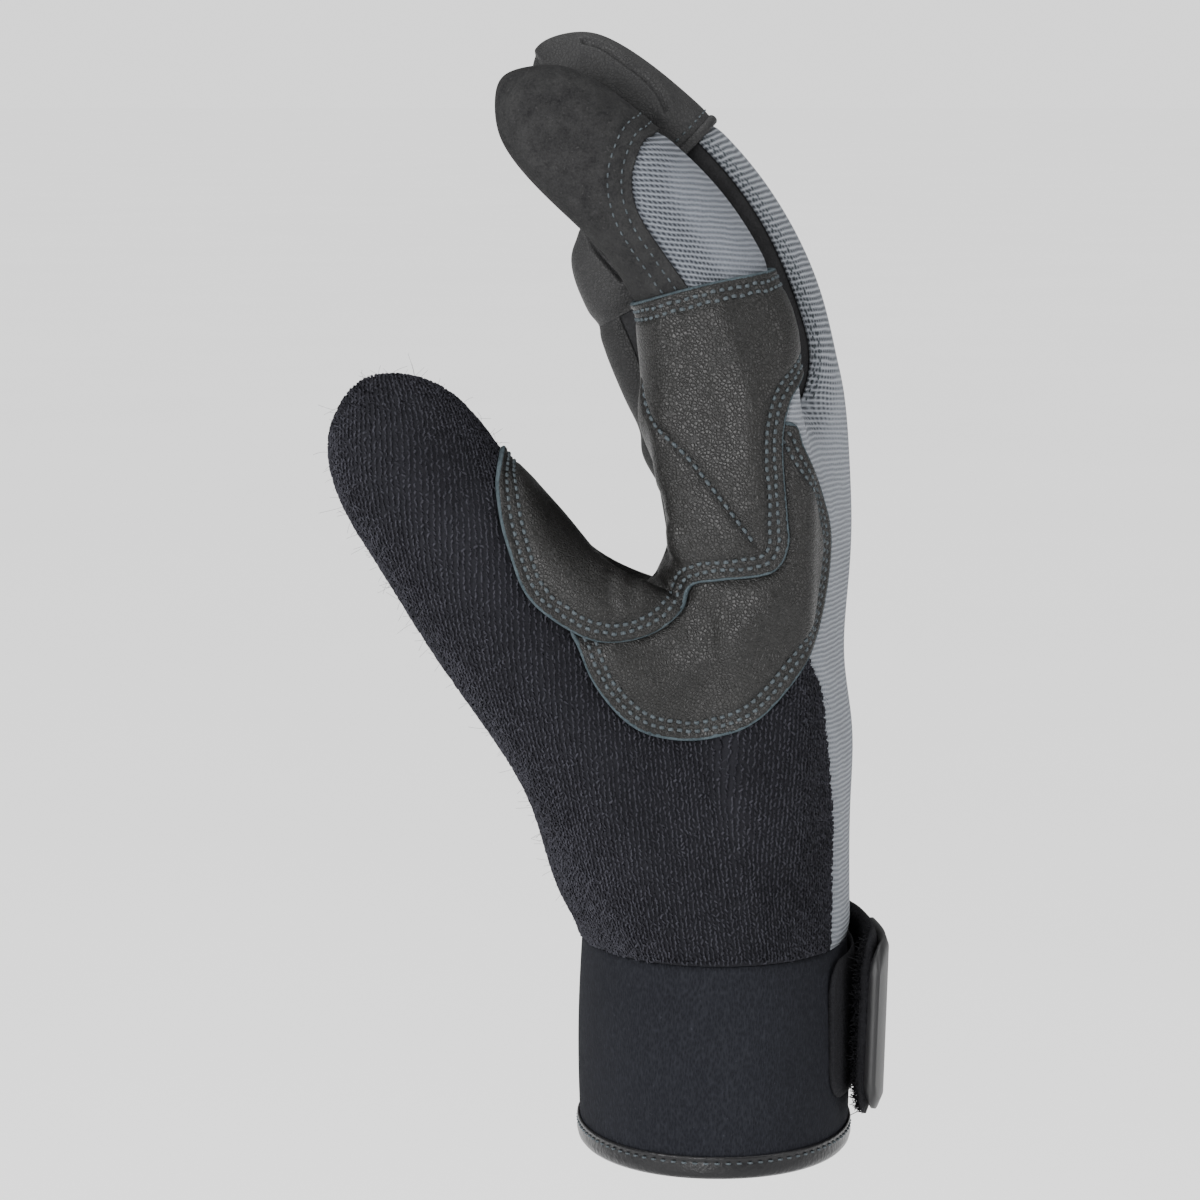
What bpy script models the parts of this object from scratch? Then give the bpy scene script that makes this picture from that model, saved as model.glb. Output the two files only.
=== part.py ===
"""Right-hand rescue glove, upright and open at the wrist, as a mosaic of sewn panels.

Frame: the origin is the middle of the cuff's mouth, +Z runs to the fingertips, +X is the
back of the hand and -Y is the thumb side. All lengths are in metres.
"""
import math
from collections import namedtuple

import bpy
import numpy as np

# Cuff, strap and binding
CUFF_HEIGHT = 0.0460
CUFF_DEPTH = 0.0595
CUFF_WIDTH = 0.080
CUFF_WALL = 0.0026
BINDING_HEIGHT = 0.005
BINDING_SKIN = 0.0009
STRAP_HEIGHT = 0.041
STRAP_RISE = 0.003
STRAP_THICKNESS = 0.0022
STRAP_LIFT = 0.0020
TAB_HEIGHT = 0.037
TAB_THICKNESS = 0.0024
LOOP_HEIGHT = 0.031
LOOP_THICKNESS = 0.0012
KNUCKLE_RISE = 0.0018
VALLEY_LENGTH = 0.016

# The strap's upper edge stands this far above the seam between cuff and hand
STRAP_MIDDLE = CUFF_HEIGHT + STRAP_RISE - STRAP_HEIGHT / 2

# Hand and fingers
HAND_LENGTH = 0.116
HAND_WIDTH = 0.088
HAND_DEPTH = 0.046
CROTCH_HEIGHT = 0.080
THUMB_LENGTH = 0.064
THUMB_DEPTH = 0.042
THUMB_WIDTH = 0.031
FINGER_WIDTH = 0.0222
FINGER_DEPTH = 0.0315
INDEX_LENGTH = 0.0880
MIDDLE_LENGTH = 0.0935
RING_LENGTH = 0.082
LITTLE_LENGTH = 0.0545

# Walls and how far each panel stands out from the common surface
WALL = 0.0017
SKIN_RELIEF = 0.0
PATCH_RELIEF = 0.0009
OVERLAY_RELIEF = 0.0016
CAP_RELIEF = 0.0007
GAP = 0.0003
STRIP_GAP = 0.0009

# Share of each finger that its leather cap covers, and where the side strips sit
CAP_START = 0.62
KNIT_EDGE = 0.66
PALM_EDGE = -0.55
OVERLAY_HEM = 0.31
WINDOW_TOP = 0.60

# How far across the hand the leather patches reach, and the column of the palm's seam with terry
OVERLAY_REACH = -0.262
PALM_SEAM_COLUMN = 23.4

# Stretches round the cuff, in degrees from the back: from the thumb side to the little finger's
LOOP_SPAN = (-38, 28)
STRAP_SPAN = (-27, 84)
TAB_SPAN = (-29, 16)

# Longest edge left on the thumb side of the hand, where the patches are cut
FINE_EDGE = 0.0085

# The patches lie above this share of the hand's length
PATCHES_LOW = 0.40

# The knuckles' place and spread below the webs, the share of the hand over which the finger
# roots become one level edge, how far the hand moves to the back for each unit down, how many
# times the valleys are smoothed, and the heights of the rows above the crotch, as shares
KNUCKLE_DROP = 0.13
KNUCKLE_SPREAD = 0.09
LEVEL_SHARE = 0.25
BACK_SLANT = 0.10
VALLEY_PASSES = 6
UPPER_ROWS = (0.66, 0.33, 0.0)

# How far the thumb's crotch sags from the palm's edge towards the thumb
SADDLE_SHARE = 0.4

# Where the hand swells or shrinks against its sections. Each row has a centre, how far it is
# felt, and the push to the back and upwards, all as shares of the hand's depth, width and length
HAND_SWELLS = (
    ((-0.235, -0.227, 0.711), (0.217, 0.182, 0.066), (-0.196, 0.004)),
    ((-0.693, -0.250, 0.818), (0.390, 0.400, 0.155), (-0.022, -0.012)),
    ((-1.070, -0.284, 0.403), (0.400, 0.400, 0.240), (0.033, 0.0)),
    ((-0.720, -0.250, 0.141), (0.400, 0.400, 0.130), (-0.034, 0.0)),
    ((0.600, 0.100, 0.831), (0.500, 0.600, 0.086), (0.085, 0.0)),
    ((0.600, 0.100, 0.655), (0.500, 0.600, 0.100), (0.040, 0.0)),
    ((0.600, 0.100, 0.359), (0.500, 0.600, 0.120), (0.052, 0.0)),
    ((0.600, 0.100, 0.062), (0.500, 0.600, 0.050), (0.065, 0.0)),
    ((-1.030, -0.375, 1.586), (0.260, 0.250, 0.103), (0.026, 0.0)),
    ((-0.480, 0.370, 1.054), (0.250, 0.200, 0.080), (-0.028, 0.0)),
    ((-0.350, 0.200, 0.916), (0.250, 0.500, 0.060), (0.040, 0.0)),
)

# The swells fade out over this share of the hand's length, down to the seam with the cuff
SWELL_FADE = 0.06

# The hand's columns on the cuff's oval: first and last angle, and how many
CUFF_ARCS = ((-55, 55, 13), (72, 90, 2), (105, 175, 10), (184, 262, 8), (273, 296, 3))
CUFF_SQUARE = 2.1

# The strap's free end rises from this angle on, and its sewn end comes down between two margins
STRAP_RISE_ANGLE = 10
STRAP_DOWN_MARGINS = (4, 6)

RING_ANGLES = tuple(-45 + 30 * step for step in range(12))
CUFF_SEGMENTS = 36
INDEX, THUMB = 0, 4
SNAP = 0.00005

# One row for each finger. Across, forward and rise place its root, as shares of the hand's
# width, depth and length; lean and bend are in degrees, and the bend runs from start to end,
# which are shares of the finger's length. Girth is its thickness against the other fingers
Finger = namedtuple("Finger", "name across forward rise lean bend start end girth")
FINGERS = (
    Finger("index", -0.375, 0.025, 0.000, 4, 45, 0.02, 0.70, 1.00),
    Finger("middle", -0.125, 0.235, 0.010, 6, 42, 0.00, 0.74, 1.00),
    Finger("ring", 0.125, 0.230, -0.010, 7, 41, 0.00, 0.75, 1.00),
    Finger("little", 0.370, -0.050, -0.080, 16, 14, 0.00, 0.60, 0.93),
)
FINGER_LENGTHS = (INDEX_LENGTH, MIDDLE_LENGTH, RING_LENGTH, LITTLE_LENGTH)

# Sections along a finger: share of its length, of its width and of its depth
FINGER_SECTIONS = (
    (0.10, 0.93, 0.98),
    (0.22, 0.915, 0.94),
    (0.35, 0.90, 0.88),
    (0.48, 0.89, 0.84),
    (0.60, 0.885, 0.81),
    (0.72, 0.87, 0.79),
    (0.82, 0.83, 0.75),
    (0.90, 0.74, 0.66),
    (0.96, 0.56, 0.48),
)
FINGER_TIP = (1.00, 0.22, 0.20)

# Where the thumb leaves the hand, as shares of the hand's depth and width and the crotch's
# height, how it leans there, and how far it spreads sideways for each unit along
THUMB_ROOT = (-0.845, -0.335, 0.885)
THUMB_ROOT_LEAN = 33
THUMB_SPREAD = 0.06

# Thumb sections: share of its length, girth share, lean in degrees
THUMB_SECTIONS = (
    (0.20, 0.95, 36),
    (0.36, 0.89, 37),
    (0.54, 0.83, 37),
    (0.70, 0.79, 34),
    (0.84, 0.68, 30),
    (0.94, 0.47, 28),
)
THUMB_TIP = (1.00, 0.20, 28)

# Hand sections from the cuff to the thumb's crotch: share of the rise, share of the way that
# the thumb's side, and the rest, have gone from the cuff's oval to the crotch's outline
HAND_SECTIONS = (
    (0.20, 0.22, 0.24),
    (0.40, 0.38, 0.46),
    (0.60, 0.56, 0.66),
    (0.80, 0.78, 0.84),
)

# Outlines on the thumb side, as shares of the hand's depth (X) and of its length above the cuff
CRESCENT = (
    (0.27, 1.005), (0.36, 0.957), (0.454, 0.866), (0.50, 0.776), (0.457, 0.648), (0.367, 0.561),
    (0.187, 0.475), (0.004, 0.438), (-0.178, 0.429), (-0.385, 0.451), (-0.546, 0.517),
    (-0.637, 0.594), (-0.70, 0.72), (-0.20, 0.98),
)
OVERLAY = (
    (0.38, 1.35), (0.30, 1.20), (0.346, 1.136), (0.346, 1.086), (0.293, 1.047), (0.263, 0.992),
    (0.263, 0.938), (0.287, 0.829), (0.291, 0.784), (0.228, 0.739), (0.002, 0.726),
    (-0.126, 0.715), (-0.18, 0.666), (-0.317, 0.626), (-0.50, 0.611), (-0.659, 0.628),
    (-0.863, 0.688), (-0.954, 0.766), (-1.013, 0.857), (-1.01, 0.955), (-0.85, 1.30), (-0.3, 1.7),
)
KNIT_SEAM = ((0.20, 1.20), (0.20, 0.95), (0.50, 0.776), (0.40, 0.577), (0.48, 0.505), (0.50, 0.431),
             (0.528, 0.322), (0.55, 0.212), (0.60, 0.108), (0.66, -0.05))
WINDOW_EDGE = ((0.31, -0.30), (0.42, -0.42), (0.50, -0.36), (0.58, -0.18), (0.64, 0.15), (0.66, 0.60))


def material(name, colour, roughness):
    made = bpy.data.materials.new(name)
    made.use_nodes = True
    shader = made.node_tree.nodes["Principled BSDF"]
    shader.inputs["Base Color"].default_value = (*colour, 1.0)
    shader.inputs["Roughness"].default_value = roughness
    shader.inputs["Metallic"].default_value = 0.0
    return made


def add_object(name, points, faces, finish):
    mesh = bpy.data.meshes.new(name)
    mesh.from_pydata([tuple(point) for point in points], [], [tuple(face) for face in faces])
    mesh.validate()
    mesh.shade_smooth()
    mesh.set_sharp_from_angle(angle=math.radians(50))
    mesh.materials.append(finish)
    made = bpy.data.objects.new(name, mesh)
    bpy.context.collection.objects.link(made)
    return made


def smoothstep(value):
    held = np.clip(value, 0.0, 1.0)
    return held * held * (3 - 2 * held)


def web_height():
    return CUFF_HEIGHT + HAND_LENGTH


def finger_path(number, steps=60):
    """Points and leans along a finger's middle line, from its web to its tip."""
    finger = FINGERS[number]
    length = FINGER_LENGTHS[number]
    height = web_height() + finger.rise * HAND_LENGTH
    points = [np.array([finger.forward * HAND_DEPTH, finger.across * HAND_WIDTH, height])]
    leans = []
    for step in range(steps + 1):
        bent = smoothstep((step / steps - finger.start) / (finger.end - finger.start))
        tilt = math.radians(finger.lean + finger.bend * bent)
        leans.append(tilt)
        heading = np.array([-math.sin(tilt), 0.0, math.cos(tilt)])
        points.append(points[-1] + heading * length / steps)
    return np.array(points[:steps + 1]), np.array(leans)


def oval(centre, lean, half_depth, half_width, angles, square=2.35):
    """Points round a section whose 0 degrees face the back and 90 degrees face +Y."""
    outward = np.array([math.cos(lean), 0.0, math.sin(lean)])
    points = []
    for angle in angles:
        turn = math.radians(angle)
        size = (abs(math.cos(turn)) ** square + abs(math.sin(turn)) ** square) ** (-1 / square)
        sideways = np.array([0.0, half_width * size * math.sin(turn), 0.0])
        points.append(centre + outward * half_depth * size * math.cos(turn) + sideways)
    return points


def finger_ring(number, share, width_share, depth_share):
    points, leans = finger_path(number)
    step = share * (len(points) - 1)
    low = min(int(step), len(points) - 2)
    centre = points[low] + (points[low + 1] - points[low]) * (step - low)
    lean = leans[low] + (leans[low + 1] - leans[low]) * (step - low)
    half_depth = FINGER_DEPTH * FINGERS[number].girth * depth_share / 2
    half_width = FINGER_WIDTH * FINGERS[number].girth * width_share / 2
    return oval(centre, lean, half_depth, half_width, RING_ANGLES)


def palm_ring(drop):
    """The 30 points round the four finger roots, at a distance below the webs.

    Columns 0 to 12 run over the back from the thumb side, 13 and 14 down the little finger's
    side, 15 to 27 back over the palm, and 28 and 29 up the thumb side.
    """
    total = np.zeros((30, 3))
    count = np.zeros(30)
    webs = np.zeros((3, 2, 3))
    for number in range(4):
        ring = finger_ring(number, 0.0, 1.0, 1.0)
        start = 15 + 3 * (3 - number)
        columns = [3 * number + step for step in range(4)] + [start + step for step in range(4)]
        for column, place in zip(columns, (0, 1, 2, 3, 6, 7, 8, 9)):
            total[column] += ring[place]
            count[column] += 1
        if number == 0:
            total[28], total[29] = ring[10], ring[11]
            count[28:30] = 1
        if number == 3:
            total[13], total[14] = ring[4], ring[5]
            count[13:15] = 1
        if number < 3:
            webs[number] += np.array([ring[4], ring[5]]) / 2
        if number > 0:
            webs[number - 1] += np.array([ring[11], ring[10]]) / 2
    ring = total / count[:, None]
    middle = ring.mean(axis=0)
    share = drop / HAND_LENGTH
    level = min(1.0, share / LEVEL_SHARE)
    ring[:, 2] = ring[:, 2] * (1 - level) + middle[2] * level - drop
    ring[:, 0] += BACK_SLANT * drop
    flat = min(1.0, drop / VALLEY_LENGTH)
    for columns in (slice(0, 13), slice(15, 28)):
        smooth = ring[columns, 0].copy()
        for _ in range(VALLEY_PASSES):
            smooth[1:-1] = (smooth[:-2] + smooth[1:-1] + smooth[2:]) / 3
        ring[columns, 0] += flat * (smooth - ring[columns, 0])
    ring[:13, 0] += KNUCKLE_RISE * math.exp(-((share - KNUCKLE_DROP) / KNUCKLE_SPREAD) ** 2)
    return ring, webs


def thumb_rings():
    """Rings along the thumb, the first where it leaves the hand."""
    forward, across, rise = THUMB_ROOT
    centre = np.array([forward * HAND_DEPTH, across * HAND_WIDTH, CUFF_HEIGHT + rise * CROTCH_HEIGHT])
    lean = math.radians(THUMB_ROOT_LEAN)
    rings = [oval(centre, lean, THUMB_DEPTH / 2, THUMB_WIDTH / 2, RING_ANGLES)]
    along = [0.0]
    last = 0.0
    for share, girth, lean_degrees in THUMB_SECTIONS + (THUMB_TIP,):
        lean = math.radians(lean_degrees)
        heading = np.array([-math.sin(lean), -THUMB_SPREAD, math.cos(lean)])
        centre = centre + heading * (share - last) * THUMB_LENGTH
        last = share
        width = THUMB_WIDTH * min(1.0, girth * 1.1)
        rings.append(oval(centre, lean, THUMB_DEPTH * girth / 2, width / 2, RING_ANGLES))
        along.append(share * THUMB_LENGTH)
    return rings, along


def side_share(angle, square=2.35):
    """How far towards the back a point of a section lies: 1 at the back, -1 at the palm."""
    turn = math.radians(angle)
    size = (abs(math.cos(turn)) ** square + abs(math.sin(turn)) ** square) ** (-1 / square)
    return size * math.cos(turn)


FINGER_SIDES = [side_share(angle) for angle in RING_ANGLES]
BACK_SIDES = [FINGER_SIDES[column % 3] for column in range(12)] + [FINGER_SIDES[3]]
PALM_SIDES = [FINGER_SIDES[6 + column % 3] for column in range(12)] + [FINGER_SIDES[9]]
RING_SIDES = BACK_SIDES + FINGER_SIDES[4:6] + PALM_SIDES + FINGER_SIDES[10:12]


def palm_share(column):
    """Distance of a column from the seam between palm leather and terry, above zero on the palm."""
    return min(column - 6.5, PALM_SEAM_COLUMN - column) * HAND_WIDTH / 12


PALM_OF_LIMB = {None: 0.0, 0: -FINGER_WIDTH, 1: FINGER_WIDTH, 2: FINGER_WIDTH, 3: FINGER_WIDTH,
                4: -FINGER_WIDTH}


class Form:
    """The glove's skin from the cuff's seam to the fingertips, with a place for each point.

    reach holds, for the four fingers and the thumb, how far a point lies beyond the root:
    above zero only on that limb.
    """

    def __init__(self):
        self.points = []
        self.faces = []
        self.reach = []
        self.side = []
        self.palm = []
        self.facing = {}

    def add(self, point, along, side, limb=None, palm=None):
        self.points.append(np.array(point))
        self.reach.append([along if limb == place else -abs(along) for place in range(5)])
        self.side.append(side)
        self.palm.append(PALM_OF_LIMB[limb] if palm is None else palm)
        return len(self.points) - 1

    def join(self, lower, upper):
        count = len(lower)
        for place in range(count):
            after = (place + 1) % count
            self.faces.append((lower[place], lower[after], upper[after]))
            self.faces.append((lower[place], upper[after], upper[place]))

    def close_tip(self, ring, tip, along, limb):
        """A tip of nine quads inside a ring of twelve points."""
        inner = [self.add(tip[place], along, FINGER_SIDES[place], limb) for place in (0, 3, 6, 9)]
        for corner in range(4):
            before, first, second, third = (ring[(3 * corner + step) % 12] for step in (-1, 0, 1, 2))
            here, following = inner[corner], inner[(corner + 1) % 4]
            self.faces += [(before, first, here), (first, second, here)]
            self.faces += [(second, third, following), (second, following, here)]
        self.faces += [(inner[0], inner[1], inner[2]), (inner[0], inner[2], inner[3])]

    def limb_rings(self, ring, sections, sides, limb):
        """Rings out along a finger or the thumb, from the shared ring at its root."""
        for points, along in sections:
            above = [self.add(point, along, side, limb) for point, side in zip(points, sides)]
            self.join(ring, above)
            ring = above
        return ring

    def normals(self):
        points, faces = np.array(self.points), np.array(self.faces)
        corners = points[faces]
        across = np.cross(corners[:, 1] - corners[:, 0], corners[:, 2] - corners[:, 0])
        total = np.zeros_like(points)
        for corner in range(3):
            np.add.at(total, faces[:, corner], across)
        total[points[:, 2] < CUFF_HEIGHT + GAP + SNAP, 2] = 0
        for place, direction in self.facing.items():
            total[place] = direction
        return total / np.linalg.norm(total, axis=1)[:, None]


def hand_rings(form, thumb_root, crotch):
    """The hand from the cuff's oval to the outline where thumb and palm part."""
    angles = [angle for arc in CUFF_ARCS for angle in np.linspace(*arc)]
    middle = np.array([0.0, 0.0, CUFF_HEIGHT + GAP])
    base = oval(middle, 0.0, CUFF_DEPTH / 2, CUFF_WIDTH / 2, angles, CUFF_SQUARE)
    top = list(crotch[:25]) + thumb_root[4:12] + list(crotch[27:30])
    sides = RING_SIDES[:25] + [-1.0] * 8 + RING_SIDES[27:30]
    crotch_drop = HAND_LENGTH - CROTCH_HEIGHT
    rings = []
    for rise, thumb_share, rest_share in [(0.0, 0.0, 0.0)] + list(HAND_SECTIONS) + [(1.0, 1.0, 1.0)]:
        ring = []
        for column in range(36):
            sideways = thumb_share if 25 <= column < 33 else rest_share
            point = base[column] + (top[column] - base[column]) * sideways
            point[2] = base[column][2] + (top[column][2] - base[column][2]) * rise
            along = (rise - 1) * CROTCH_HEIGHT - crotch_drop
            ring.append(form.add(point, along, sides[column], palm=palm_share(column)))
        rings.append(ring)
    for below, above in zip(rings, rings[1:]):
        form.join(below, above)
    return rings[-1]


def face_webs(form, palm, web_points):
    """Between two fingers the skin faces up, and at the web's two corners up and outwards."""
    for number, web in enumerate(web_points):
        for place in web:
            form.facing[place] = (0.0, 0.0, 1.0)
        form.facing[palm[3 * number + 3]] = (0.95, 0.0, 0.3)
        form.facing[palm[24 - 3 * number]] = (-0.95, 0.0, 0.3)


def swollen(points):
    """The form's points with the hand's swells added."""
    size = np.array([HAND_DEPTH, HAND_WIDTH, HAND_LENGTH])
    shares = (points - (0, 0, CUFF_HEIGHT + GAP)) / size
    moved = shares.copy()
    for centre, spread, (back, up) in HAND_SWELLS:
        felt = np.exp(-(((shares - centre) / spread) ** 2).sum(axis=1))
        felt = felt * smoothstep(shares[:, 2] / SWELL_FADE)
        moved += felt[:, None] * np.array([back, 0.0, up])
    return points + (moved - shares) * size


def hand_form():
    form = Form()
    thumbs, thumb_along = thumb_rings()
    crotch_drop = HAND_LENGTH - CROTCH_HEIGHT
    crotch, _ = palm_ring(crotch_drop)
    top = hand_rings(form, thumbs[0], crotch)
    saddle = []
    for column, place in ((25, 2), (26, 1)):
        point = crotch[column] * (1 - SADDLE_SHARE) + thumbs[0][place] * SADDLE_SHARE
        saddle.append(form.add(point, -crotch_drop, RING_SIDES[column], palm=palm_share(column)))
    palm = top[:25] + saddle + top[33:36]
    for drop in [crotch_drop * row for row in UPPER_ROWS]:
        points, webs = palm_ring(drop)
        above = [form.add(points[column], -drop, RING_SIDES[column], palm=palm_share(column))
                 for column in range(30)]
        form.join(palm, above)
        palm = above
    web_points = [[form.add(point, 0.0, side) for point, side in zip(web, FINGER_SIDES[4:6])]
                  for web in webs]
    face_webs(form, palm, web_points)
    for number in range(4):
        start = 15 + 3 * (3 - number)
        ring = [palm[3 * number + step] for step in range(4)]
        ring += web_points[number] if number < 3 else [palm[13], palm[14]]
        ring += [palm[start + step] for step in range(4)]
        ring += web_points[number - 1][::-1] if number > 0 else [palm[28], palm[29]]
        sections = [(finger_ring(number, *row), row[0] * FINGER_LENGTHS[number]) for row in FINGER_SECTIONS]
        ring = form.limb_rings(ring, sections, FINGER_SIDES, number)
        form.close_tip(ring, finger_ring(number, *FINGER_TIP), FINGER_LENGTHS[number], number)
    ring = [top[33], saddle[1], saddle[0], top[24]] + top[25:33]
    thumb_sides = [-1.0] * 12
    ring = form.limb_rings(ring, list(zip(thumbs, thumb_along))[1:-1], thumb_sides, THUMB)
    form.close_tip(ring, thumbs[-1], thumb_along[-1], THUMB)
    form.points = list(swollen(np.array(form.points)))
    return form


class Patch:
    """A piece of the skin: points with their normals, reaches and side shares, and triangles."""

    def __init__(self, rows, faces):
        self.rows = rows
        self.faces = faces

    def x(self):
        return self.rows[:, 0]

    def y(self):
        return self.rows[:, 1]

    def z(self):
        return self.rows[:, 2]

    def reach(self, limb):
        return self.rows[:, 6 + limb]

    def side(self):
        return self.rows[:, 11]

    def cut(self, field):
        """The part of the patch where the field is above zero, cut clean along its border."""
        values = field(self)
        values = np.where(np.abs(values) < SNAP, -SNAP, values)
        rows = list(self.rows)
        made = {}
        faces = []
        for face in self.faces:
            inside = [values[corner] > 0 for corner in face]
            if not any(inside):
                continue
            if all(inside):
                faces.append(tuple(face))
                continue
            loop = []
            for place in range(3):
                here, following = face[place], face[(place + 1) % 3]
                if inside[place]:
                    loop.append(here)
                if inside[place] != inside[(place + 1) % 3]:
                    key = (min(here, following), max(here, following))
                    if key not in made:
                        share = values[key[0]] / (values[key[0]] - values[key[1]])
                        rows.append(self.rows[key[0]] * (1 - share) + self.rows[key[1]] * share)
                        made[key] = len(rows) - 1
                    loop.append(made[key])
            faces.append(tuple(loop[:3]))
            if len(loop) == 4:
                faces.append((loop[0], loop[2], loop[3]))
        return Patch(np.array(rows), np.array(faces, dtype=int).reshape(-1, 3))

    def refined(self, limit, region):
        """The patch with its long edges halved within a region, each new point on the curve."""
        rows, faces = list(self.rows), [tuple(face) for face in self.faces]
        for _ in range(3):
            middles = {}

            def middle(first, second):
                key = (min(first, second), max(first, second))
                if key not in middles:
                    start, end = rows[key[0]], rows[key[1]]
                    run = end[:3] - start[:3]
                    half = (start + end) / 2
                    middles[key] = None
                    length = np.linalg.norm(run)
                    if length > limit and region(half):
                        bulge = np.clip((end[3:6] - start[3:6]) @ run / 8, -length / 12, length / 8)
                        half[3:6] /= np.linalg.norm(half[3:6])
                        half[:3] += half[3:6] * bulge
                        rows.append(half)
                        middles[key] = len(rows) - 1
                return middles[key]

            finer = []
            for a, b, c in faces:
                ab, bc, ca = middle(a, b), middle(b, c), middle(c, a)
                cut = [place is not None for place in (ab, bc, ca)]
                while cut not in ([False] * 3, [True, False, False], [True, True, False], [True] * 3):
                    a, b, c, ab, bc, ca = b, c, a, bc, ca, ab
                    cut = cut[1:] + cut[:1]
                if sum(cut) == 0:
                    finer.append((a, b, c))
                elif sum(cut) == 1:
                    finer += [(a, ab, c), (ab, b, c)]
                elif sum(cut) == 2:
                    finer += [(ab, b, bc), (a, ab, bc), (a, bc, c)]
                else:
                    finer += [(a, ab, ca), (ab, b, bc), (ca, bc, c), (ab, bc, ca)]
            faces = finer
        return Patch(np.array(rows), np.array(faces))

    def largest(self):
        """The biggest connected piece, with unused points dropped."""
        parent = list(range(len(self.rows)))

        def root(place):
            while parent[place] != place:
                parent[place] = parent[parent[place]]
                place = parent[place]
            return place

        for first, second, third in self.faces:
            parent[root(first)] = root(second)
            parent[root(second)] = root(third)
        roots = np.array([root(face[0]) for face in self.faces])
        names, counts = np.unique(roots, return_counts=True)
        kept = self.faces[roots == names[counts.argmax()]]
        used = np.unique(kept)
        renumber = np.zeros(len(self.rows), dtype=int)
        renumber[used] = np.arange(len(used))
        return Patch(self.rows[used], renumber[kept])

    def thicken(self, outward, inward):
        """A closed wall: the patch pushed out and in along its normals, with its rim closed."""
        points, normals = self.rows[:, :3], self.rows[:, 3:6]
        normals = normals / np.linalg.norm(normals, axis=1)[:, None]
        count = len(points)
        walls = np.vstack([points + normals * outward, points - normals * inward])
        faces = [tuple(face) for face in self.faces]
        faces += [(c + count, b + count, a + count) for a, b, c in self.faces]
        edges = {}
        for face in self.faces:
            for place in range(3):
                edges[(face[place], face[(place + 1) % 3])] = True
        for first, second in edges:
            if (second, first) not in edges:
                faces.append((second, first, first + count))
                faces.append((second, first + count, second + count))
        return walls, faces


def outline_distance(points, outline):
    """Distance inside a closed outline: above zero inside it, below zero outside."""
    outline = np.array(outline)
    nearest = np.full(len(points), np.inf)
    inside = np.zeros(len(points), dtype=bool)
    for start, end in zip(outline, np.roll(outline, -1, axis=0)):
        run = end - start
        share = np.clip(((points - start) @ run) / (run @ run), 0, 1)
        nearest = np.minimum(nearest, np.linalg.norm(points - (start + share[:, None] * run), axis=1))
        crosses = (start[1] > points[:, 1]) != (end[1] > points[:, 1])
        rise = run[1] if run[1] else 1e-9
        inside ^= crosses & (points[:, 0] < start[0] + run[0] * (points[:, 1] - start[1]) / rise)
    return np.where(inside, nearest, -nearest)


def rounded(shares, steps=3):
    """A closed smooth outline through a few points, in metres from shares of the hand."""
    points = np.array(shares) * (HAND_DEPTH, HAND_LENGTH) + (0, CUFF_HEIGHT)
    made = []
    count = len(points)
    for place in range(count):
        before, start, end, after = (points[(place + step) % count] for step in (-1, 0, 1, 2))
        for step in range(steps):
            t = step / steps
            made.append(0.5 * (2 * start + (end - before) * t
                               + (2 * before - 5 * start + 4 * end - after) * t * t
                               + (3 * start - before - 3 * end + after) * t ** 3))
    return made


def line_value(table, shares):
    table = np.array(table)
    order = np.argsort(table[:, 0])
    return np.interp(shares, table[order, 0], table[order, 1])


def finger_middle(number):
    return FINGERS[number].across * HAND_WIDTH


def side_view(patch):
    return np.stack([patch.x(), patch.z()], axis=1)


def overlay_field(patch):
    inside = outline_distance(side_view(patch), rounded(OVERLAY))
    below_hem = OVERLAY_HEM * INDEX_LENGTH - patch.reach(INDEX)
    thumb_half = OVERLAY_REACH * HAND_WIDTH - patch.y()
    return np.minimum(np.minimum(inside, below_hem), thumb_half)


def crescent_field(patch):
    inside = outline_distance(side_view(patch), rounded(CRESCENT))
    return np.minimum(inside, OVERLAY_REACH * HAND_WIDTH - patch.y())


def strip_field(number):
    """The side strip between two fingers, from one cap down round the web to the other."""
    def field(patch):
        half_depth = FINGER_DEPTH / 2
        back = (KNIT_EDGE - patch.side()) * half_depth
        front = (patch.side() - PALM_EDGE) * half_depth
        near = patch.y() - finger_middle(number)
        far = finger_middle(number + 1) - patch.y()
        value = np.minimum(np.minimum(back, front), np.minimum(near, far))
        for limb in (number, number + 1):
            value = np.minimum(value, CAP_START * FINGER_LENGTHS[limb] - patch.reach(limb))
        return value
    return field


def cap_field(number):
    return lambda patch: patch.reach(number) - CAP_START * FINGER_LENGTHS[number]


def window_field(patch):
    share = patch.reach(INDEX) / INDEX_LENGTH
    edge = line_value(WINDOW_EDGE, share)
    thumb_side = patch.y() < finger_middle(INDEX)
    value = (patch.side() - np.where(thumb_side, edge, KNIT_EDGE)) * FINGER_DEPTH / 2
    value = np.minimum(value, patch.reach(INDEX) - OVERLAY_HEM * INDEX_LENGTH)
    return np.minimum(value, WINDOW_TOP * INDEX_LENGTH - patch.reach(INDEX))


def index_field(patch):
    return patch.reach(INDEX) - OVERLAY_HEM * INDEX_LENGTH


def knit_field(patch):
    rise = (patch.z() - CUFF_HEIGHT) / HAND_LENGTH
    seam = line_value([(height, place) for place, height in KNIT_SEAM], rise) * HAND_DEPTH
    thumb_side = (patch.y() < OVERLAY_REACH * HAND_WIDTH) & (patch.reach(INDEX) <= 0)
    across = np.where(thumb_side, patch.x() - seam, (patch.side() - KNIT_EDGE) * FINGER_DEPTH / 2)
    return across


def palm_field(patch):
    return patch.rows[:, 12]


def thumb_inside_field(patch):
    """The half of the thumb that faces the palm, beyond the thumb's middle line."""
    middle = THUMB_ROOT[1] * HAND_WIDTH - THUMB_SPREAD * np.maximum(patch.reach(THUMB), 0)
    return np.minimum(patch.y() - middle, -patch.x())


def share_gap(field, turn, gap):
    return lambda patch: turn * field(patch) - gap / 2


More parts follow.
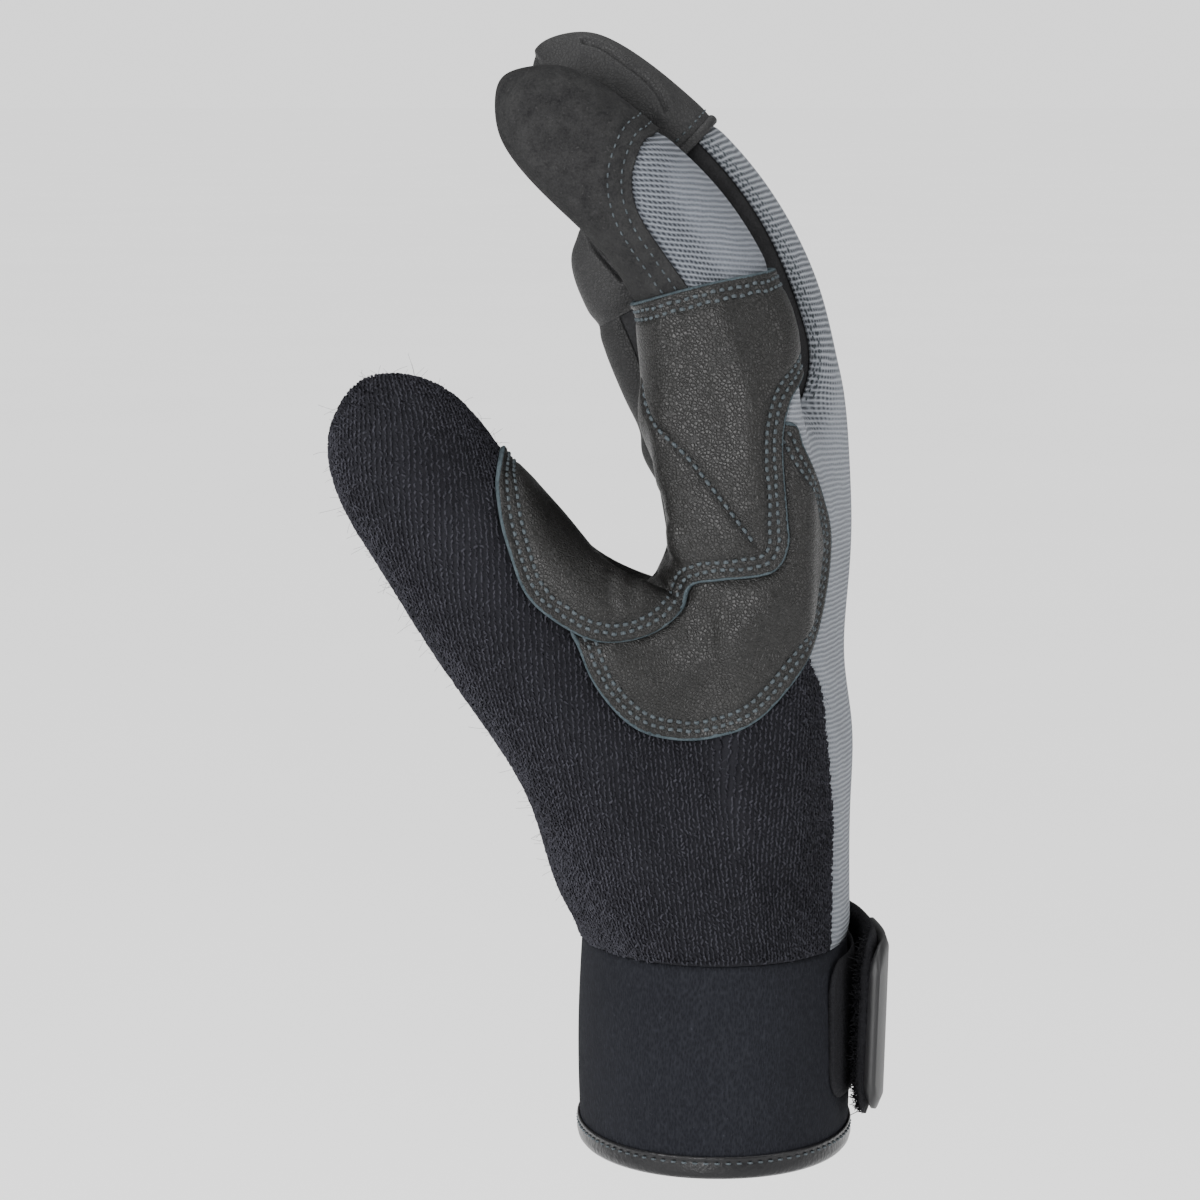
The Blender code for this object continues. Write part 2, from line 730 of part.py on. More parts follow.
def near_patches(row):
    """True on the thumb side, over the heights that the leather patches cover."""
    return row[1] < OVERLAY_REACH * HAND_WIDTH and row[2] > CUFF_HEIGHT + PATCHES_LOW * HAND_LENGTH


def skin_panels():
    """The skin parted into its sewn panels, each with half of the gap to its neighbours."""
    form = hand_form()
    rows = np.hstack([np.array(form.points), form.normals(), np.array(form.reach),
                      np.array(form.side)[:, None], np.array(form.palm)[:, None]])
    rest = Patch(rows, np.array(form.faces)).refined(FINE_EDGE, near_patches)
    panels = {}
    steps = [("fourchette_" + FINGERS[number].name, strip_field(number)) for number in range(3)]
    steps += [(FINGERS[number].name + "_cap", cap_field(number)) for number in range(1, 4)]
    steps += [("index_overlay", overlay_field), ("crescent_patch", crescent_field)]
    steps += [("index_window", window_field), ("index_cap", index_field)]
    steps += [("back_knit", knit_field), ("palm_leather", palm_field)]
    steps += [("thumb_inside", thumb_inside_field)]
    for name, field in steps:
        gap = STRIP_GAP if name.startswith("fourchette") else GAP
        panels[name] = rest.cut(share_gap(field, 1, gap)).largest()
        rest = rest.cut(share_gap(field, -1, gap))
    panels["terry_panel"] = rest.largest()
    return panels


def cuff_ring(outset, height, segments=CUFF_SEGMENTS):
    half_depth, half_width = CUFF_DEPTH / 2 + outset, CUFF_WIDTH / 2 + outset
    angles = np.linspace(0, 360, segments, endpoint=False)
    return oval(np.array([0.0, 0.0, height]), 0.0, half_depth, half_width, angles, CUFF_SQUARE)


def turned(profile):
    """A ring with a closed profile of (outset, height) pairs, anticlockwise in its section."""
    rings = [cuff_ring(outset, height) for outset, height in profile]
    points = [point for ring in rings for point in ring]
    faces = []
    for level in range(len(rings)):
        above = (level + 1) % len(rings)
        for place in range(CUFF_SEGMENTS):
            after = (place + 1) % CUFF_SEGMENTS
            corners = [level * CUFF_SEGMENTS + place, level * CUFF_SEGMENTS + after,
                       above * CUFF_SEGMENTS + after, above * CUFF_SEGMENTS + place]
            faces.append(corners)
    return points, faces


def cuff_profile():
    low = BINDING_SKIN + GAP
    return ((0.0, low), (0.0, CUFF_HEIGHT * 0.5), (0.0, CUFF_HEIGHT - GAP),
            (-CUFF_WALL, CUFF_HEIGHT - GAP), (-CUFF_WALL, CUFF_HEIGHT * 0.5), (-CUFF_WALL, low))


def binding_profile():
    outer, inner = GAP, -CUFF_WALL - GAP
    top, low = BINDING_HEIGHT, BINDING_SKIN
    return ((inner, low), (outer, low), (outer, top), (outer + BINDING_SKIN, top),
            (outer + BINDING_SKIN, 0.0), (inner - BINDING_SKIN, 0.0), (inner - BINDING_SKIN, top),
            (inner, top))


def band(span, height, inner_outset, thickness, segments=12):
    """A strip bent round the cuff; inner_outset gives its distance from the cuff at an angle."""
    points, faces = [], []
    angles = np.linspace(*span, segments + 1)
    low, high = STRAP_MIDDLE - height / 2, STRAP_MIDDLE + height / 2
    for angle in angles:
        for level, outset in ((low, 0), (low, thickness), (high, thickness), (high, 0)):
            out = inner_outset(angle) + outset
            half_depth, half_width = CUFF_DEPTH / 2 + out, CUFF_WIDTH / 2 + out
            centre = np.array([0.0, 0.0, level])
            points += oval(centre, 0.0, half_depth, half_width, [angle], CUFF_SQUARE)
    for step in range(segments):
        for side in range(4):
            after = (side + 1) % 4
            faces.append([4 * step + side, 4 * step + 4 + side, 4 * step + 4 + after, 4 * step + after])
    last = 4 * segments
    faces += [[0, 1, 2, 3], [last + 3, last + 2, last + 1, last]]
    return points, faces


def loop_outset(angle):
    return GAP


def strap_outset(angle):
    """The strap lies on its fuzzy patch, rises at its free end and meets the cuff where sewn."""
    over_patch = GAP + LOOP_THICKNESS + GAP
    sewn = 2 * GAP
    lift = STRAP_LIFT * smoothstep((STRAP_RISE_ANGLE - angle) / (STRAP_RISE_ANGLE - STRAP_SPAN[0]))
    start = LOOP_SPAN[1] + STRAP_DOWN_MARGINS[0]
    end = STRAP_SPAN[1] - STRAP_DOWN_MARGINS[1]
    down = smoothstep((angle - start) / (end - start))
    return over_patch + lift - down * (over_patch - sewn)


def tab_outset(angle):
    return strap_outset(max(angle, STRAP_SPAN[0])) + STRAP_THICKNESS + GAP


def build():
    for existing in list(bpy.data.objects):
        bpy.data.objects.remove(existing)
    finishes = {name: material(name, *row) for name, row in FINISHES.items()}
    for name, patch in skin_panels().items():
        finish, relief = PANEL_FINISH[name.split("_")[-1]]
        add_object(name, *patch.thicken(relief, WALL - relief), finishes[finish])
    add_object("cuff", *turned(cuff_profile()), finishes["stretch"])
    add_object("cuff_binding", *turned(binding_profile()[::-1]), finishes["gloss"])
    patch = band(LOOP_SPAN, LOOP_HEIGHT, loop_outset, LOOP_THICKNESS)
    add_object("loop_patch", *patch, finishes["hook"])
    strap = band(STRAP_SPAN, STRAP_HEIGHT, strap_outset, STRAP_THICKNESS, 18)
    add_object("closure_strap", *strap, finishes["hook"])
    tab = band(TAB_SPAN, TAB_HEIGHT, tab_outset, TAB_THICKNESS)
    add_object("strap_tab", *tab, finishes["rubber"])


FINISHES = {
    "stretch": ((0.012, 0.012, 0.014), 0.75),
    "gloss": ((0.01, 0.01, 0.01), 0.25),
    "terry": ((0.013, 0.013, 0.017), 0.95),
    "knit": ((0.21, 0.22, 0.235), 0.85),
    "leather": ((0.025, 0.023, 0.021), 0.45),
    "nubuck": ((0.028, 0.027, 0.025), 0.9),
    "rubber": ((0.015, 0.015, 0.016), 0.4),
    "hook": ((0.01, 0.01, 0.011), 0.95),
}
PANEL_FINISH = {
    "index": ("nubuck", SKIN_RELIEF),
    "middle": ("nubuck", SKIN_RELIEF),
    "ring": ("nubuck", SKIN_RELIEF),
    "cap": ("leather", CAP_RELIEF),
    "overlay": ("leather", OVERLAY_RELIEF),
    "patch": ("leather", PATCH_RELIEF),
    "window": ("knit", SKIN_RELIEF),
    "knit": ("knit", SKIN_RELIEF),
    "leather": ("leather", SKIN_RELIEF),
    "panel": ("terry", SKIN_RELIEF),
    "inside": ("terry", SKIN_RELIEF),
}
build()
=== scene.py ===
# %% [markdown]
# A work glove is a mosaic: flat pieces of cloth and leather are sewn edge to edge until they
# close round a hand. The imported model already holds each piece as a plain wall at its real
# size. This lesson makes the fine glove over it: one smooth skin first, then the same seams
# cut into it, then each panel's thickness, thread and nap.

# %% Load the frame
import math
from collections import namedtuple

import bpy
import numpy as np
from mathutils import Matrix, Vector
from mathutils.bvhtree import BVHTree
from mathutils.kdtree import KDTree


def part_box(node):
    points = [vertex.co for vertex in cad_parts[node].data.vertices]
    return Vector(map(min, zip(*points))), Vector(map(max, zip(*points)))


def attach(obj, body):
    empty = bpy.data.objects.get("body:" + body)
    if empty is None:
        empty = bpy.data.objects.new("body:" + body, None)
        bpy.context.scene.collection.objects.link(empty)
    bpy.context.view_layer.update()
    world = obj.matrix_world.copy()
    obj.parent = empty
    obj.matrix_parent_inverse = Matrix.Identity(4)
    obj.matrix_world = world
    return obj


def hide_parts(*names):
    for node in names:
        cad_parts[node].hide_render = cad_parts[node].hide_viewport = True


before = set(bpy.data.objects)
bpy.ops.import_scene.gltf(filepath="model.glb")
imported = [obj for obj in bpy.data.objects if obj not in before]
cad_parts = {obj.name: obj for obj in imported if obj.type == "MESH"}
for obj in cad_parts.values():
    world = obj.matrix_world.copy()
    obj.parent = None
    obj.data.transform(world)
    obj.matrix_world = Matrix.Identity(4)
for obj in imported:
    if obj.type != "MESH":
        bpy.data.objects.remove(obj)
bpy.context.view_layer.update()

# %% [markdown]
# The glove's sizes come first. The cuff's oval is read from its node, so the skin starts
# exactly on it. The hand's and fingers' own lengths are a few named values, as a pattern
# cutter would note them down.

# %% The glove's main sizes
cuff_low, cuff_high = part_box("cuff")
CUFF_DEPTH = cuff_high[0] - cuff_low[0]
CUFF_WIDTH = cuff_high[1] - cuff_low[1]
GAP = 0.0003
SEAM_HEIGHT = cuff_high[2] + 2 * GAP
HAND_LENGTH = 0.116
HAND_WIDTH = 0.088
HAND_DEPTH = 0.046
CROTCH_HEIGHT = 0.080
THUMB_LENGTH = 0.064
THUMB_DEPTH = 0.042
THUMB_WIDTH = 0.031
FINGER_WIDTH = 0.0222
FINGER_DEPTH = 0.0315
WALL = 0.0017
print("cuff:", round(CUFF_DEPTH * 1000, 1), "by", round(CUFF_WIDTH * 1000, 1), "mm")

# %% Section tables
# A finger's root is given as shares of the hand's width, depth and length; its lean and bend
# are in degrees, and the bend runs between two shares of its length.
Finger = namedtuple("Finger", "name length across forward rise lean bend start end girth")
FINGERS = (
    Finger("index", 0.0880, -0.375, 0.025, 0.000, 4, 45, 0.02, 0.70, 1.00),
    Finger("middle", 0.0935, -0.125, 0.235, 0.010, 6, 42, 0.00, 0.74, 1.00),
    Finger("ring", 0.0820, 0.125, 0.230, -0.010, 7, 41, 0.00, 0.75, 1.00),
    Finger("little", 0.0545, 0.370, -0.050, -0.080, 16, 14, 0.00, 0.60, 0.93),
)
INDEX, THUMB = 0, 4

# Share of a finger's length, of its width and of its depth
FINGER_SECTIONS = (
    (0.10, 0.93, 0.98), (0.22, 0.915, 0.94), (0.35, 0.90, 0.88), (0.48, 0.89, 0.84),
    (0.60, 0.885, 0.81), (0.72, 0.87, 0.79), (0.82, 0.83, 0.75), (0.90, 0.74, 0.66),
    (0.96, 0.56, 0.48),
)
FINGER_TIP = (1.00, 0.22, 0.20)

# The thumb's root, as shares of the hand's depth and width and of the crotch's height, then
# its sections: share of its length, girth and lean in degrees
THUMB_ROOT = (-0.845, -0.335, 0.885)
THUMB_ROOT_LEAN = 33
THUMB_SPREAD = 0.06
THUMB_SECTIONS = (
    (0.20, 0.95, 36), (0.36, 0.89, 37), (0.54, 0.83, 37), (0.70, 0.79, 34), (0.84, 0.68, 30),
    (0.94, 0.47, 28), (1.00, 0.20, 28),
)

# Rows of the hand below the thumb's crotch: share of the rise, and how far the thumb's side
# and the rest have gone from the cuff's oval to the crotch's outline
HAND_SECTIONS = (
    (0.0, 0.0, 0.0), (0.20, 0.22, 0.24), (0.40, 0.38, 0.46), (0.60, 0.56, 0.66),
    (0.80, 0.78, 0.84), (1.0, 1.0, 1.0),
)
UPPER_ROWS = (0.66, 0.33, 0.0)

# Where the hand swells or shrinks: a centre, how far it is felt, and the push to the back and
# upwards, all as shares of the hand's depth, width and length
HAND_SWELLS = (
    ((-0.235, -0.227, 0.711), (0.217, 0.182, 0.066), (-0.196, 0.004)),
    ((-0.693, -0.250, 0.818), (0.390, 0.400, 0.155), (-0.022, -0.012)),
    ((-1.070, -0.284, 0.403), (0.400, 0.400, 0.240), (0.033, 0.0)),
    ((-0.720, -0.250, 0.141), (0.400, 0.400, 0.130), (-0.034, 0.0)),
    ((0.600, 0.100, 0.831), (0.500, 0.600, 0.086), (0.085, 0.0)),
    ((0.600, 0.100, 0.655), (0.500, 0.600, 0.100), (0.040, 0.0)),
    ((0.600, 0.100, 0.359), (0.500, 0.600, 0.120), (0.052, 0.0)),
    ((0.600, 0.100, 0.062), (0.500, 0.600, 0.050), (0.065, 0.0)),
    ((-1.060, -0.375, 1.640), (0.110, 0.250, 0.045), (-0.030, 0.010)),
    ((-0.900, -0.375, 1.700), (0.160, 0.250, 0.060), (0.000, -0.014)),
    ((-0.480, 0.370, 1.054), (0.250, 0.200, 0.080), (-0.028, 0.0)),
    ((-0.350, 0.200, 0.916), (0.250, 0.500, 0.060), (0.040, 0.0)),
)
SWELL_FADE = 0.06
CUFF_ARCS = ((-55, 55, 13), (72, 90, 2), (105, 175, 10), (184, 262, 8), (273, 296, 3))
RING_ANGLES = tuple(-45 + 30 * step for step in range(12))
KNUCKLE_RISE, KNUCKLE_DROP, KNUCKLE_SPREAD = 0.0018, 0.13, 0.09
LEVEL_SHARE, BACK_SLANT, VALLEY_LENGTH, VALLEY_PASSES = 0.25, 0.10, 0.016, 6
SADDLE_SHARE = 0.4
SECTION_SQUARE, CUFF_SQUARE = 2.35, 2.1
WEB_HEIGHT = SEAM_HEIGHT - GAP + HAND_LENGTH
CROTCH_DROP = HAND_LENGTH - CROTCH_HEIGHT
print("fingers:", [finger.name for finger in FINGERS])


# %% [markdown]
# A hand is hard to make from tubes, because tubes don't branch. A cage of four-sided faces
# does: rings climb from the cuff, part at the thumb's crotch and again at the webs between
# the fingers. Subdivision then rounds the cage. Each cage point also carries marks, such as
# how far out on which finger it lies, and these are smoothed the same way, so a seam can
# later be drawn as a simple rule.

# %% Helpers for sections
def smoothstep(value):
    held = np.clip(value, 0.0, 1.0)
    return held * held * (3 - 2 * held)


def unit(vectors):
    return vectors / np.maximum(np.linalg.norm(vectors, axis=-1, keepdims=True), 1e-12)


def oval_size(turn, square):
    return (abs(math.cos(turn)) ** square + abs(math.sin(turn)) ** square) ** (-1 / square)


def oval(centre, lean, half_depth, half_width, angles, square=SECTION_SQUARE):
    """Points round a section: 0 degrees faces the back of the hand, 90 degrees +Y."""
    outward = np.array([math.cos(lean), 0.0, math.sin(lean)])
    points = []
    for turn in np.radians(angles):
        size = oval_size(turn, square)
        across = np.array([0.0, half_width * size * math.sin(turn), 0.0])
        points.append(centre + outward * half_depth * size * math.cos(turn) + across)
    return points


def side_share(angle):
    """1 on the back of a section, -1 on its palm side."""
    turn = math.radians(angle)
    return oval_size(turn, SECTION_SQUARE) * math.cos(turn)


SIDES = [side_share(angle) for angle in RING_ANGLES]
BACK_SIDES = [SIDES[column % 3] for column in range(12)] + [SIDES[3]]
PALM_SIDES = [SIDES[6 + column % 3] for column in range(12)] + [SIDES[9]]
RING_SIDES = BACK_SIDES + SIDES[4:6] + PALM_SIDES + SIDES[10:12]


# %% Finger and thumb sections
def finger_path(finger, steps=60):
    """Points and leans along a finger's middle line, from its web to its tip."""
    height = WEB_HEIGHT + finger.rise * HAND_LENGTH
    points = [np.array([finger.forward * HAND_DEPTH, finger.across * HAND_WIDTH, height])]
    leans = []
    for step in range(steps + 1):
        bent = smoothstep((step / steps - finger.start) / (finger.end - finger.start))
        leans.append(math.radians(finger.lean + finger.bend * bent))
        heading = np.array([-math.sin(leans[-1]), 0.0, math.cos(leans[-1])])
        points.append(points[-1] + heading * finger.length / steps)
    return np.array(points[:-1]), np.array(leans)


def finger_ring(finger, share, width_share, depth_share):
    points, leans = finger_path(finger)
    steps = np.linspace(0, 1, len(points))
    centre = np.array([np.interp(share, steps, points[:, axis]) for axis in range(3)])
    lean = np.interp(share, steps, leans)
    half_depth = FINGER_DEPTH * finger.girth * depth_share / 2
    half_width = FINGER_WIDTH * finger.girth * width_share / 2
    return oval(centre, lean, half_depth, half_width, RING_ANGLES)


def thumb_rings():
    """Rings along the thumb with their distances, the first where it leaves the hand."""
    forward, across, rise = THUMB_ROOT
    height = SEAM_HEIGHT - GAP + rise * CROTCH_HEIGHT
    centre = np.array([forward * HAND_DEPTH, across * HAND_WIDTH, height])
    root_lean = math.radians(THUMB_ROOT_LEAN)
    rings = [oval(centre, root_lean, THUMB_DEPTH / 2, THUMB_WIDTH / 2, RING_ANGLES)]
    centres, along, last = [centre], [0.0], 0.0
    for share, girth, degrees in THUMB_SECTIONS:
        lean = math.radians(degrees)
        heading = np.array([-math.sin(lean), -THUMB_SPREAD, math.cos(lean)])
        centre = centre + heading * (share - last) * THUMB_LENGTH
        half_width = THUMB_WIDTH * min(1.0, girth * 1.1) / 2
        rings.append(oval(centre, lean, THUMB_DEPTH * girth / 2, half_width, RING_ANGLES))
        centres.append(centre)
        along.append(share * THUMB_LENGTH)
        last = share
    return rings, along, np.array(centres)


def palm_ring(drop):
    """The 30 points round the four finger roots, at a distance below the webs."""
    total, count = np.zeros((30, 3)), np.zeros(30)
    webs = np.zeros((3, 2, 3))
    for number, finger in enumerate(FINGERS):
        ring = finger_ring(finger, 0.0, 1.0, 1.0)
        start = 15 + 3 * (3 - number)
        columns = [3 * number + step for step in range(4)] + [start + step for step in range(4)]
        for column, place in zip(columns, (0, 1, 2, 3, 6, 7, 8, 9)):
            total[column] += ring[place]
            count[column] += 1
        if number == 0:
            total[28], total[29], count[28:30] = ring[10], ring[11], 1
        if number == 3:
            total[13], total[14], count[13:15] = ring[4], ring[5], 1
        if number < 3:
            webs[number] += np.array([ring[4], ring[5]]) / 2
        if number > 0:
            webs[number - 1] += np.array([ring[11], ring[10]]) / 2
    ring = total / count[:, None]
    share = drop / HAND_LENGTH
    level = min(1.0, share / LEVEL_SHARE)
    ring[:, 2] = ring[:, 2] * (1 - level) + ring[:, 2].mean() * level - drop
    ring[:, 0] += BACK_SLANT * drop
    flat = min(1.0, drop / VALLEY_LENGTH)
    for columns in (slice(0, 13), slice(15, 28)):
        smooth = ring[columns, 0].copy()
        for _ in range(VALLEY_PASSES):
            smooth[1:-1] = (smooth[:-2] + smooth[1:-1] + smooth[2:]) / 3
        ring[columns, 0] += flat * (smooth - ring[columns, 0])
    ring[:13, 0] += KNUCKLE_RISE * math.exp(-((share - KNUCKLE_DROP) / KNUCKLE_SPREAD) ** 2)
    return ring, webs


# %% Helpers for the cage
PALM_SEAM_COLUMN = 23.4
BACK_SEAM_COLUMN = 6.5
PALM_OF_LIMB = {0: -FINGER_WIDTH, 1: FINGER_WIDTH, 2: FINGER_WIDTH, 3: FINGER_WIDTH,
                4: -FINGER_WIDTH}
SIDE, PALM, AROUND = 5, 6, 7
cage_points, cage_marks, cage_quads = [], [], []


def cage_point(point, along, side, around, limb=None, palm=None):
    """Adds a point. Its marks are its reach on each limb, its side, palm and column."""
    reach = [along if limb == place else -abs(along) for place in range(5)]
    cage_points.append(np.array(point))
    cage_marks.append(reach + [side, PALM_OF_LIMB[limb] if palm is None else palm, around, 0.0])
    return len(cage_points) - 1


def join_rings(lower, upper):
    for place in range(len(lower)):
        after = (place + 1) % len(lower)
        cage_quads.append((lower[place], lower[after], upper[after], upper[place]))


def palm_share(column):
    """Above zero between the palm leather's two seams, in metres."""
    return min(column - BACK_SEAM_COLUMN, PALM_SEAM_COLUMN - column) * HAND_WIDTH / 12


def limb_columns(limb):
    """Column numbers round a limb, continuing those of the hand on its back."""
    start = 3 * limb if limb != THUMB else -3
    return [start + place if place < 8 else start + place - 12 for place in range(12)]


def grow_limb(ring, sections, sides, limb):
    """Rings out along a limb, then nine faces that close its tip."""
    columns = limb_columns(limb)
    for points, along in sections[:-1]:
        above = [cage_point(*row, limb) for row in zip(points, [along] * 12, sides, columns)]
        join_rings(ring, above)
        ring = above
    tip, along = sections[-1]
    inner = [cage_point(tip[place], along, sides[place], columns[place], limb)
             for place in (0, 3, 6, 9)]
    for corner in range(4):
        before, first, second, third = (ring[(3 * corner + step) % 12] for step in (-1, 0, 1, 2))
        here, following = inner[corner], inner[(corner + 1) % 4]
        cage_quads.append((before, first, second, here))
        cage_quads.append((second, third, following, here))
    cage_quads.append(tuple(inner))


# %% Build the cage: hand, fingers and thumb
def hand_cage(thumb_root, crotch):
    """Rings of 36 points from the cuff to the outline where thumb and palm part."""
    angles = [angle for arc in CUFF_ARCS for angle in np.linspace(*arc)]
    middle = np.array([0.0, 0.0, SEAM_HEIGHT])
    base = oval(middle, 0.0, CUFF_DEPTH / 2, CUFF_WIDTH / 2, angles, CUFF_SQUARE)
    top = list(crotch[:25]) + thumb_root[4:12] + list(crotch[27:30])
    sides = RING_SIDES[:25] + [-1.0] * 8 + RING_SIDES[27:30]
    rings = []
    for rise, thumb_share, rest_share in HAND_SECTIONS:
        ring = []
        for column in range(36):
            across = thumb_share if 25 <= column < 33 else rest_share
            point = base[column] + (top[column] - base[column]) * across
            point[2] = base[column][2] + (top[column][2] - base[column][2]) * rise
            along = (rise - 1) * CROTCH_HEIGHT - CROTCH_DROP
            around = column if column < 18 else column - 36
            ring.append(cage_point(point, along, sides[column], around, palm=palm_share(column)))
        rings.append(ring)
    for below, above in zip(rings, rings[1:]):
        join_rings(below, above)
    return rings[-1]


def swollen(points):
    """The cage's points with the hand's swells added."""
    size = np.array([HAND_DEPTH, HAND_WIDTH, HAND_LENGTH])
    shares = (points - (0, 0, SEAM_HEIGHT)) / size
    moved = shares.copy()
    for centre, spread, (back, up) in HAND_SWELLS:
        felt = np.exp(-(((shares - centre) / spread) ** 2).sum(axis=1))
        felt = felt * smoothstep(shares[:, 2] / SWELL_FADE)
        moved += felt[:, None] * np.array([back, 0.0, up])
    return points + (moved - shares) * size


def build_cage():
    thumbs, thumb_along, _ = thumb_rings()
    crotch, _ = palm_ring(CROTCH_DROP)
    top = hand_cage(thumbs[0], crotch)
    saddle = []
    for column, place in ((25, 2), (26, 1)):
        point = crotch[column] * (1 - SADDLE_SHARE) + thumbs[0][place] * SADDLE_SHARE
        saddle.append(cage_point(point, -CROTCH_DROP, RING_SIDES[column], column - 30,
                                 palm=palm_share(column)))
    palm = top[:25] + saddle + top[33:36]
    for drop in [CROTCH_DROP * row for row in UPPER_ROWS]:
        points, webs = palm_ring(drop)
        above = []
        for column in range(30):
            around = column if column < 15 else column - 30
            above.append(cage_point(points[column], -drop, RING_SIDES[column], around,
                                    palm=palm_share(column)))
        join_rings(palm, above)
        palm = above
    web_points = [[cage_point(point, 0.0, side, 3 * number + 4, palm=0.0)
                   for point, side in zip(web, SIDES[4:6])] for number, web in enumerate(webs)]
    for number, finger in enumerate(FINGERS):
        start = 15 + 3 * (3 - number)
        ring = [palm[3 * number + step] for step in range(4)]
        ring += web_points[number] if number < 3 else [palm[13], palm[14]]
        ring += [palm[start + step] for step in range(4)]
        ring += web_points[number - 1][::-1] if number > 0 else [palm[28], palm[29]]
        sections = [(finger_ring(finger, *row), row[0] * finger.length)
                    for row in FINGER_SECTIONS + (FINGER_TIP,)]
        grow_limb(ring, sections, SIDES, number)
    ring = [top[33], saddle[1], saddle[0], top[24]] + top[25:33]
    grow_limb(ring, list(zip(thumbs, thumb_along))[1:], [-1.0] * 12, THUMB)
    cage_points[:] = list(swollen(np.array(cage_points)))


build_cage()
print("cage:", len(cage_points), "points,", len(cage_quads), "faces")


# %% [markdown]
# Subdivision pulls a surface inside its cage, which would make every finger thin. So the cage
# is pushed out again by what it lost, a few times over, until the smooth surface runs through
# the sections. The marks go through the same modifier, three at a time, as if they were
# positions: that keeps them as smooth as the skin.

# %% Smooth the cage and its marks
def subdivided(values, level):
    """Catmull-Clark of an n by 3 array on the cage's faces: fine values and fine faces."""
    mesh = bpy.data.meshes.new("cage")
    mesh.from_pydata(values.tolist(), [], cage_quads)
    cage = bpy.data.objects.new("cage", mesh)
    bpy.context.collection.objects.link(cage)
    rounding = cage.modifiers.new("rounding", "SUBSURF")
    rounding.levels = rounding.render_levels = level
    fine = cage.evaluated_get(bpy.context.evaluated_depsgraph_get()).to_mesh()
    places = np.empty(len(fine.vertices) * 3, dtype=np.float32)
    fine.vertices.foreach_get("co", places)
    corners = np.empty(len(fine.loops), dtype=np.int32)
    fine.loops.foreach_get("vertex_index", corners)
    bpy.data.objects.remove(cage)
    bpy.data.meshes.remove(mesh)
    return places.reshape(-1, 3).astype(float), corners.reshape(-1, 4)


def through(values, rounds=5):
    """A cage whose smooth surface passes through the given values."""
    control = values.copy()
    for _ in range(rounds):
        control += values - subdivided(control, 1)[0][:len(values)]
    return control


def square_to(corners):
    """For each triangle, a vector square to it and as long as twice its area."""
    return np.cross(corners[:, 1] - corners[:, 0], corners[:, 2] - corners[:, 0])


def vertex_normals(points, faces):
    across = square_to(points[faces])
    total = np.zeros_like(points)
    for corner in range(3):
        np.add.at(total, faces[:, corner], across)
    return unit(total)


Cloth = namedtuple("Cloth", "points normals marks faces")


def smooth_skin(level, control, mark_controls):
    points, quads = subdivided(control, level)
    marks = np.hstack([subdivided(part, level)[0] for part in mark_controls])
    faces = np.vstack([quads[:, (0, 1, 2)], quads[:, (0, 2, 3)]])
    normals = vertex_normals(points, faces)
    normals[points[:, 2] < SEAM_HEIGHT + GAP / 10, 2] = 0
    return Cloth(points, unit(normals), marks, faces)


control = through(np.array(cage_points))
marks = np.array(cage_marks)
mark_controls = [through(marks[:, start:start + 3]) for start in (0, 3, 6)]
SKIN = {level: smooth_skin(level, control, mark_controls) for level in (3, 4)}
print("skin:", {level: len(cloth.faces) for level, cloth in SKIN.items()}, "triangles")


# %% [markdown]
# A seam is where a rule changes sign, such as the distance inside a drawn outline, or how far
# round a finger a point lies. A triangle that straddles the line is cut on it, so the edge is
# clean whatever the mesh does there. A Boolean could cut too, but it would lose the marks.

# %% Cut a cloth on a line
def cut(cloth, value):
    """The part of a cloth where value, one number for each point, is above zero."""
    value = np.where(np.abs(value) < 1e-7, -1e-7, value)
    above = (value > 0)[cloth.faces]
    kept = [cloth.faces[above.all(axis=1)]]
    rows = np.hstack([cloth.points, cloth.normals, cloth.marks])
    made, added, parts = {}, [], []
    split = above.any(axis=1) & ~above.all(axis=1)
    for face, inside in zip(cloth.faces[split], above[split]):
        loop = []
        for place in range(3):
            here, after = int(face[place]), int(face[(place + 1) % 3])
            if inside[place]:
                loop.append(here)
            if inside[place] != inside[(place + 1) % 3]:
                key = (min(here, after), max(here, after))
                if key not in made:
                    share = value[key[0]] / (value[key[0]] - value[key[1]])
                    added.append(rows[key[0]] * (1 - share) + rows[key[1]] * share)
                    made[key] = len(rows) + len(added) - 1
                loop.append(made[key])
        parts.append(loop[:3])
        if len(loop) == 4:
            parts.append([loop[0], loop[2], loop[3]])
    if parts:
        kept.append(np.array(parts))
    rows = np.vstack([rows] + added) if added else rows
    faces = np.vstack(kept).astype(int)
    used, faces = np.unique(faces, return_inverse=True)
    rows = rows[used]
    return Cloth(rows[:, :3], unit(rows[:, 3:6]), rows[:, 6:], faces.reshape(-1, 3))


def largest(cloth):
    """The biggest connected piece of a cloth."""
    label = np.arange(len(cloth.points))
    while True:
        lowest = label[cloth.faces].min(axis=1)
        before = label.copy()
        for corner in range(3):
            np.minimum.at(label, cloth.faces[:, corner], lowest)
        label = label[label]
        if (label == before).all():
            break
    names, counts = np.unique(label[cloth.faces[:, 0]], return_counts=True)
    faces = cloth.faces[label[cloth.faces[:, 0]] == names[counts.argmax()]]
    used, faces = np.unique(faces, return_inverse=True)
    return Cloth(cloth.points[used], cloth.normals[used], cloth.marks[used], faces.reshape(-1, 3))


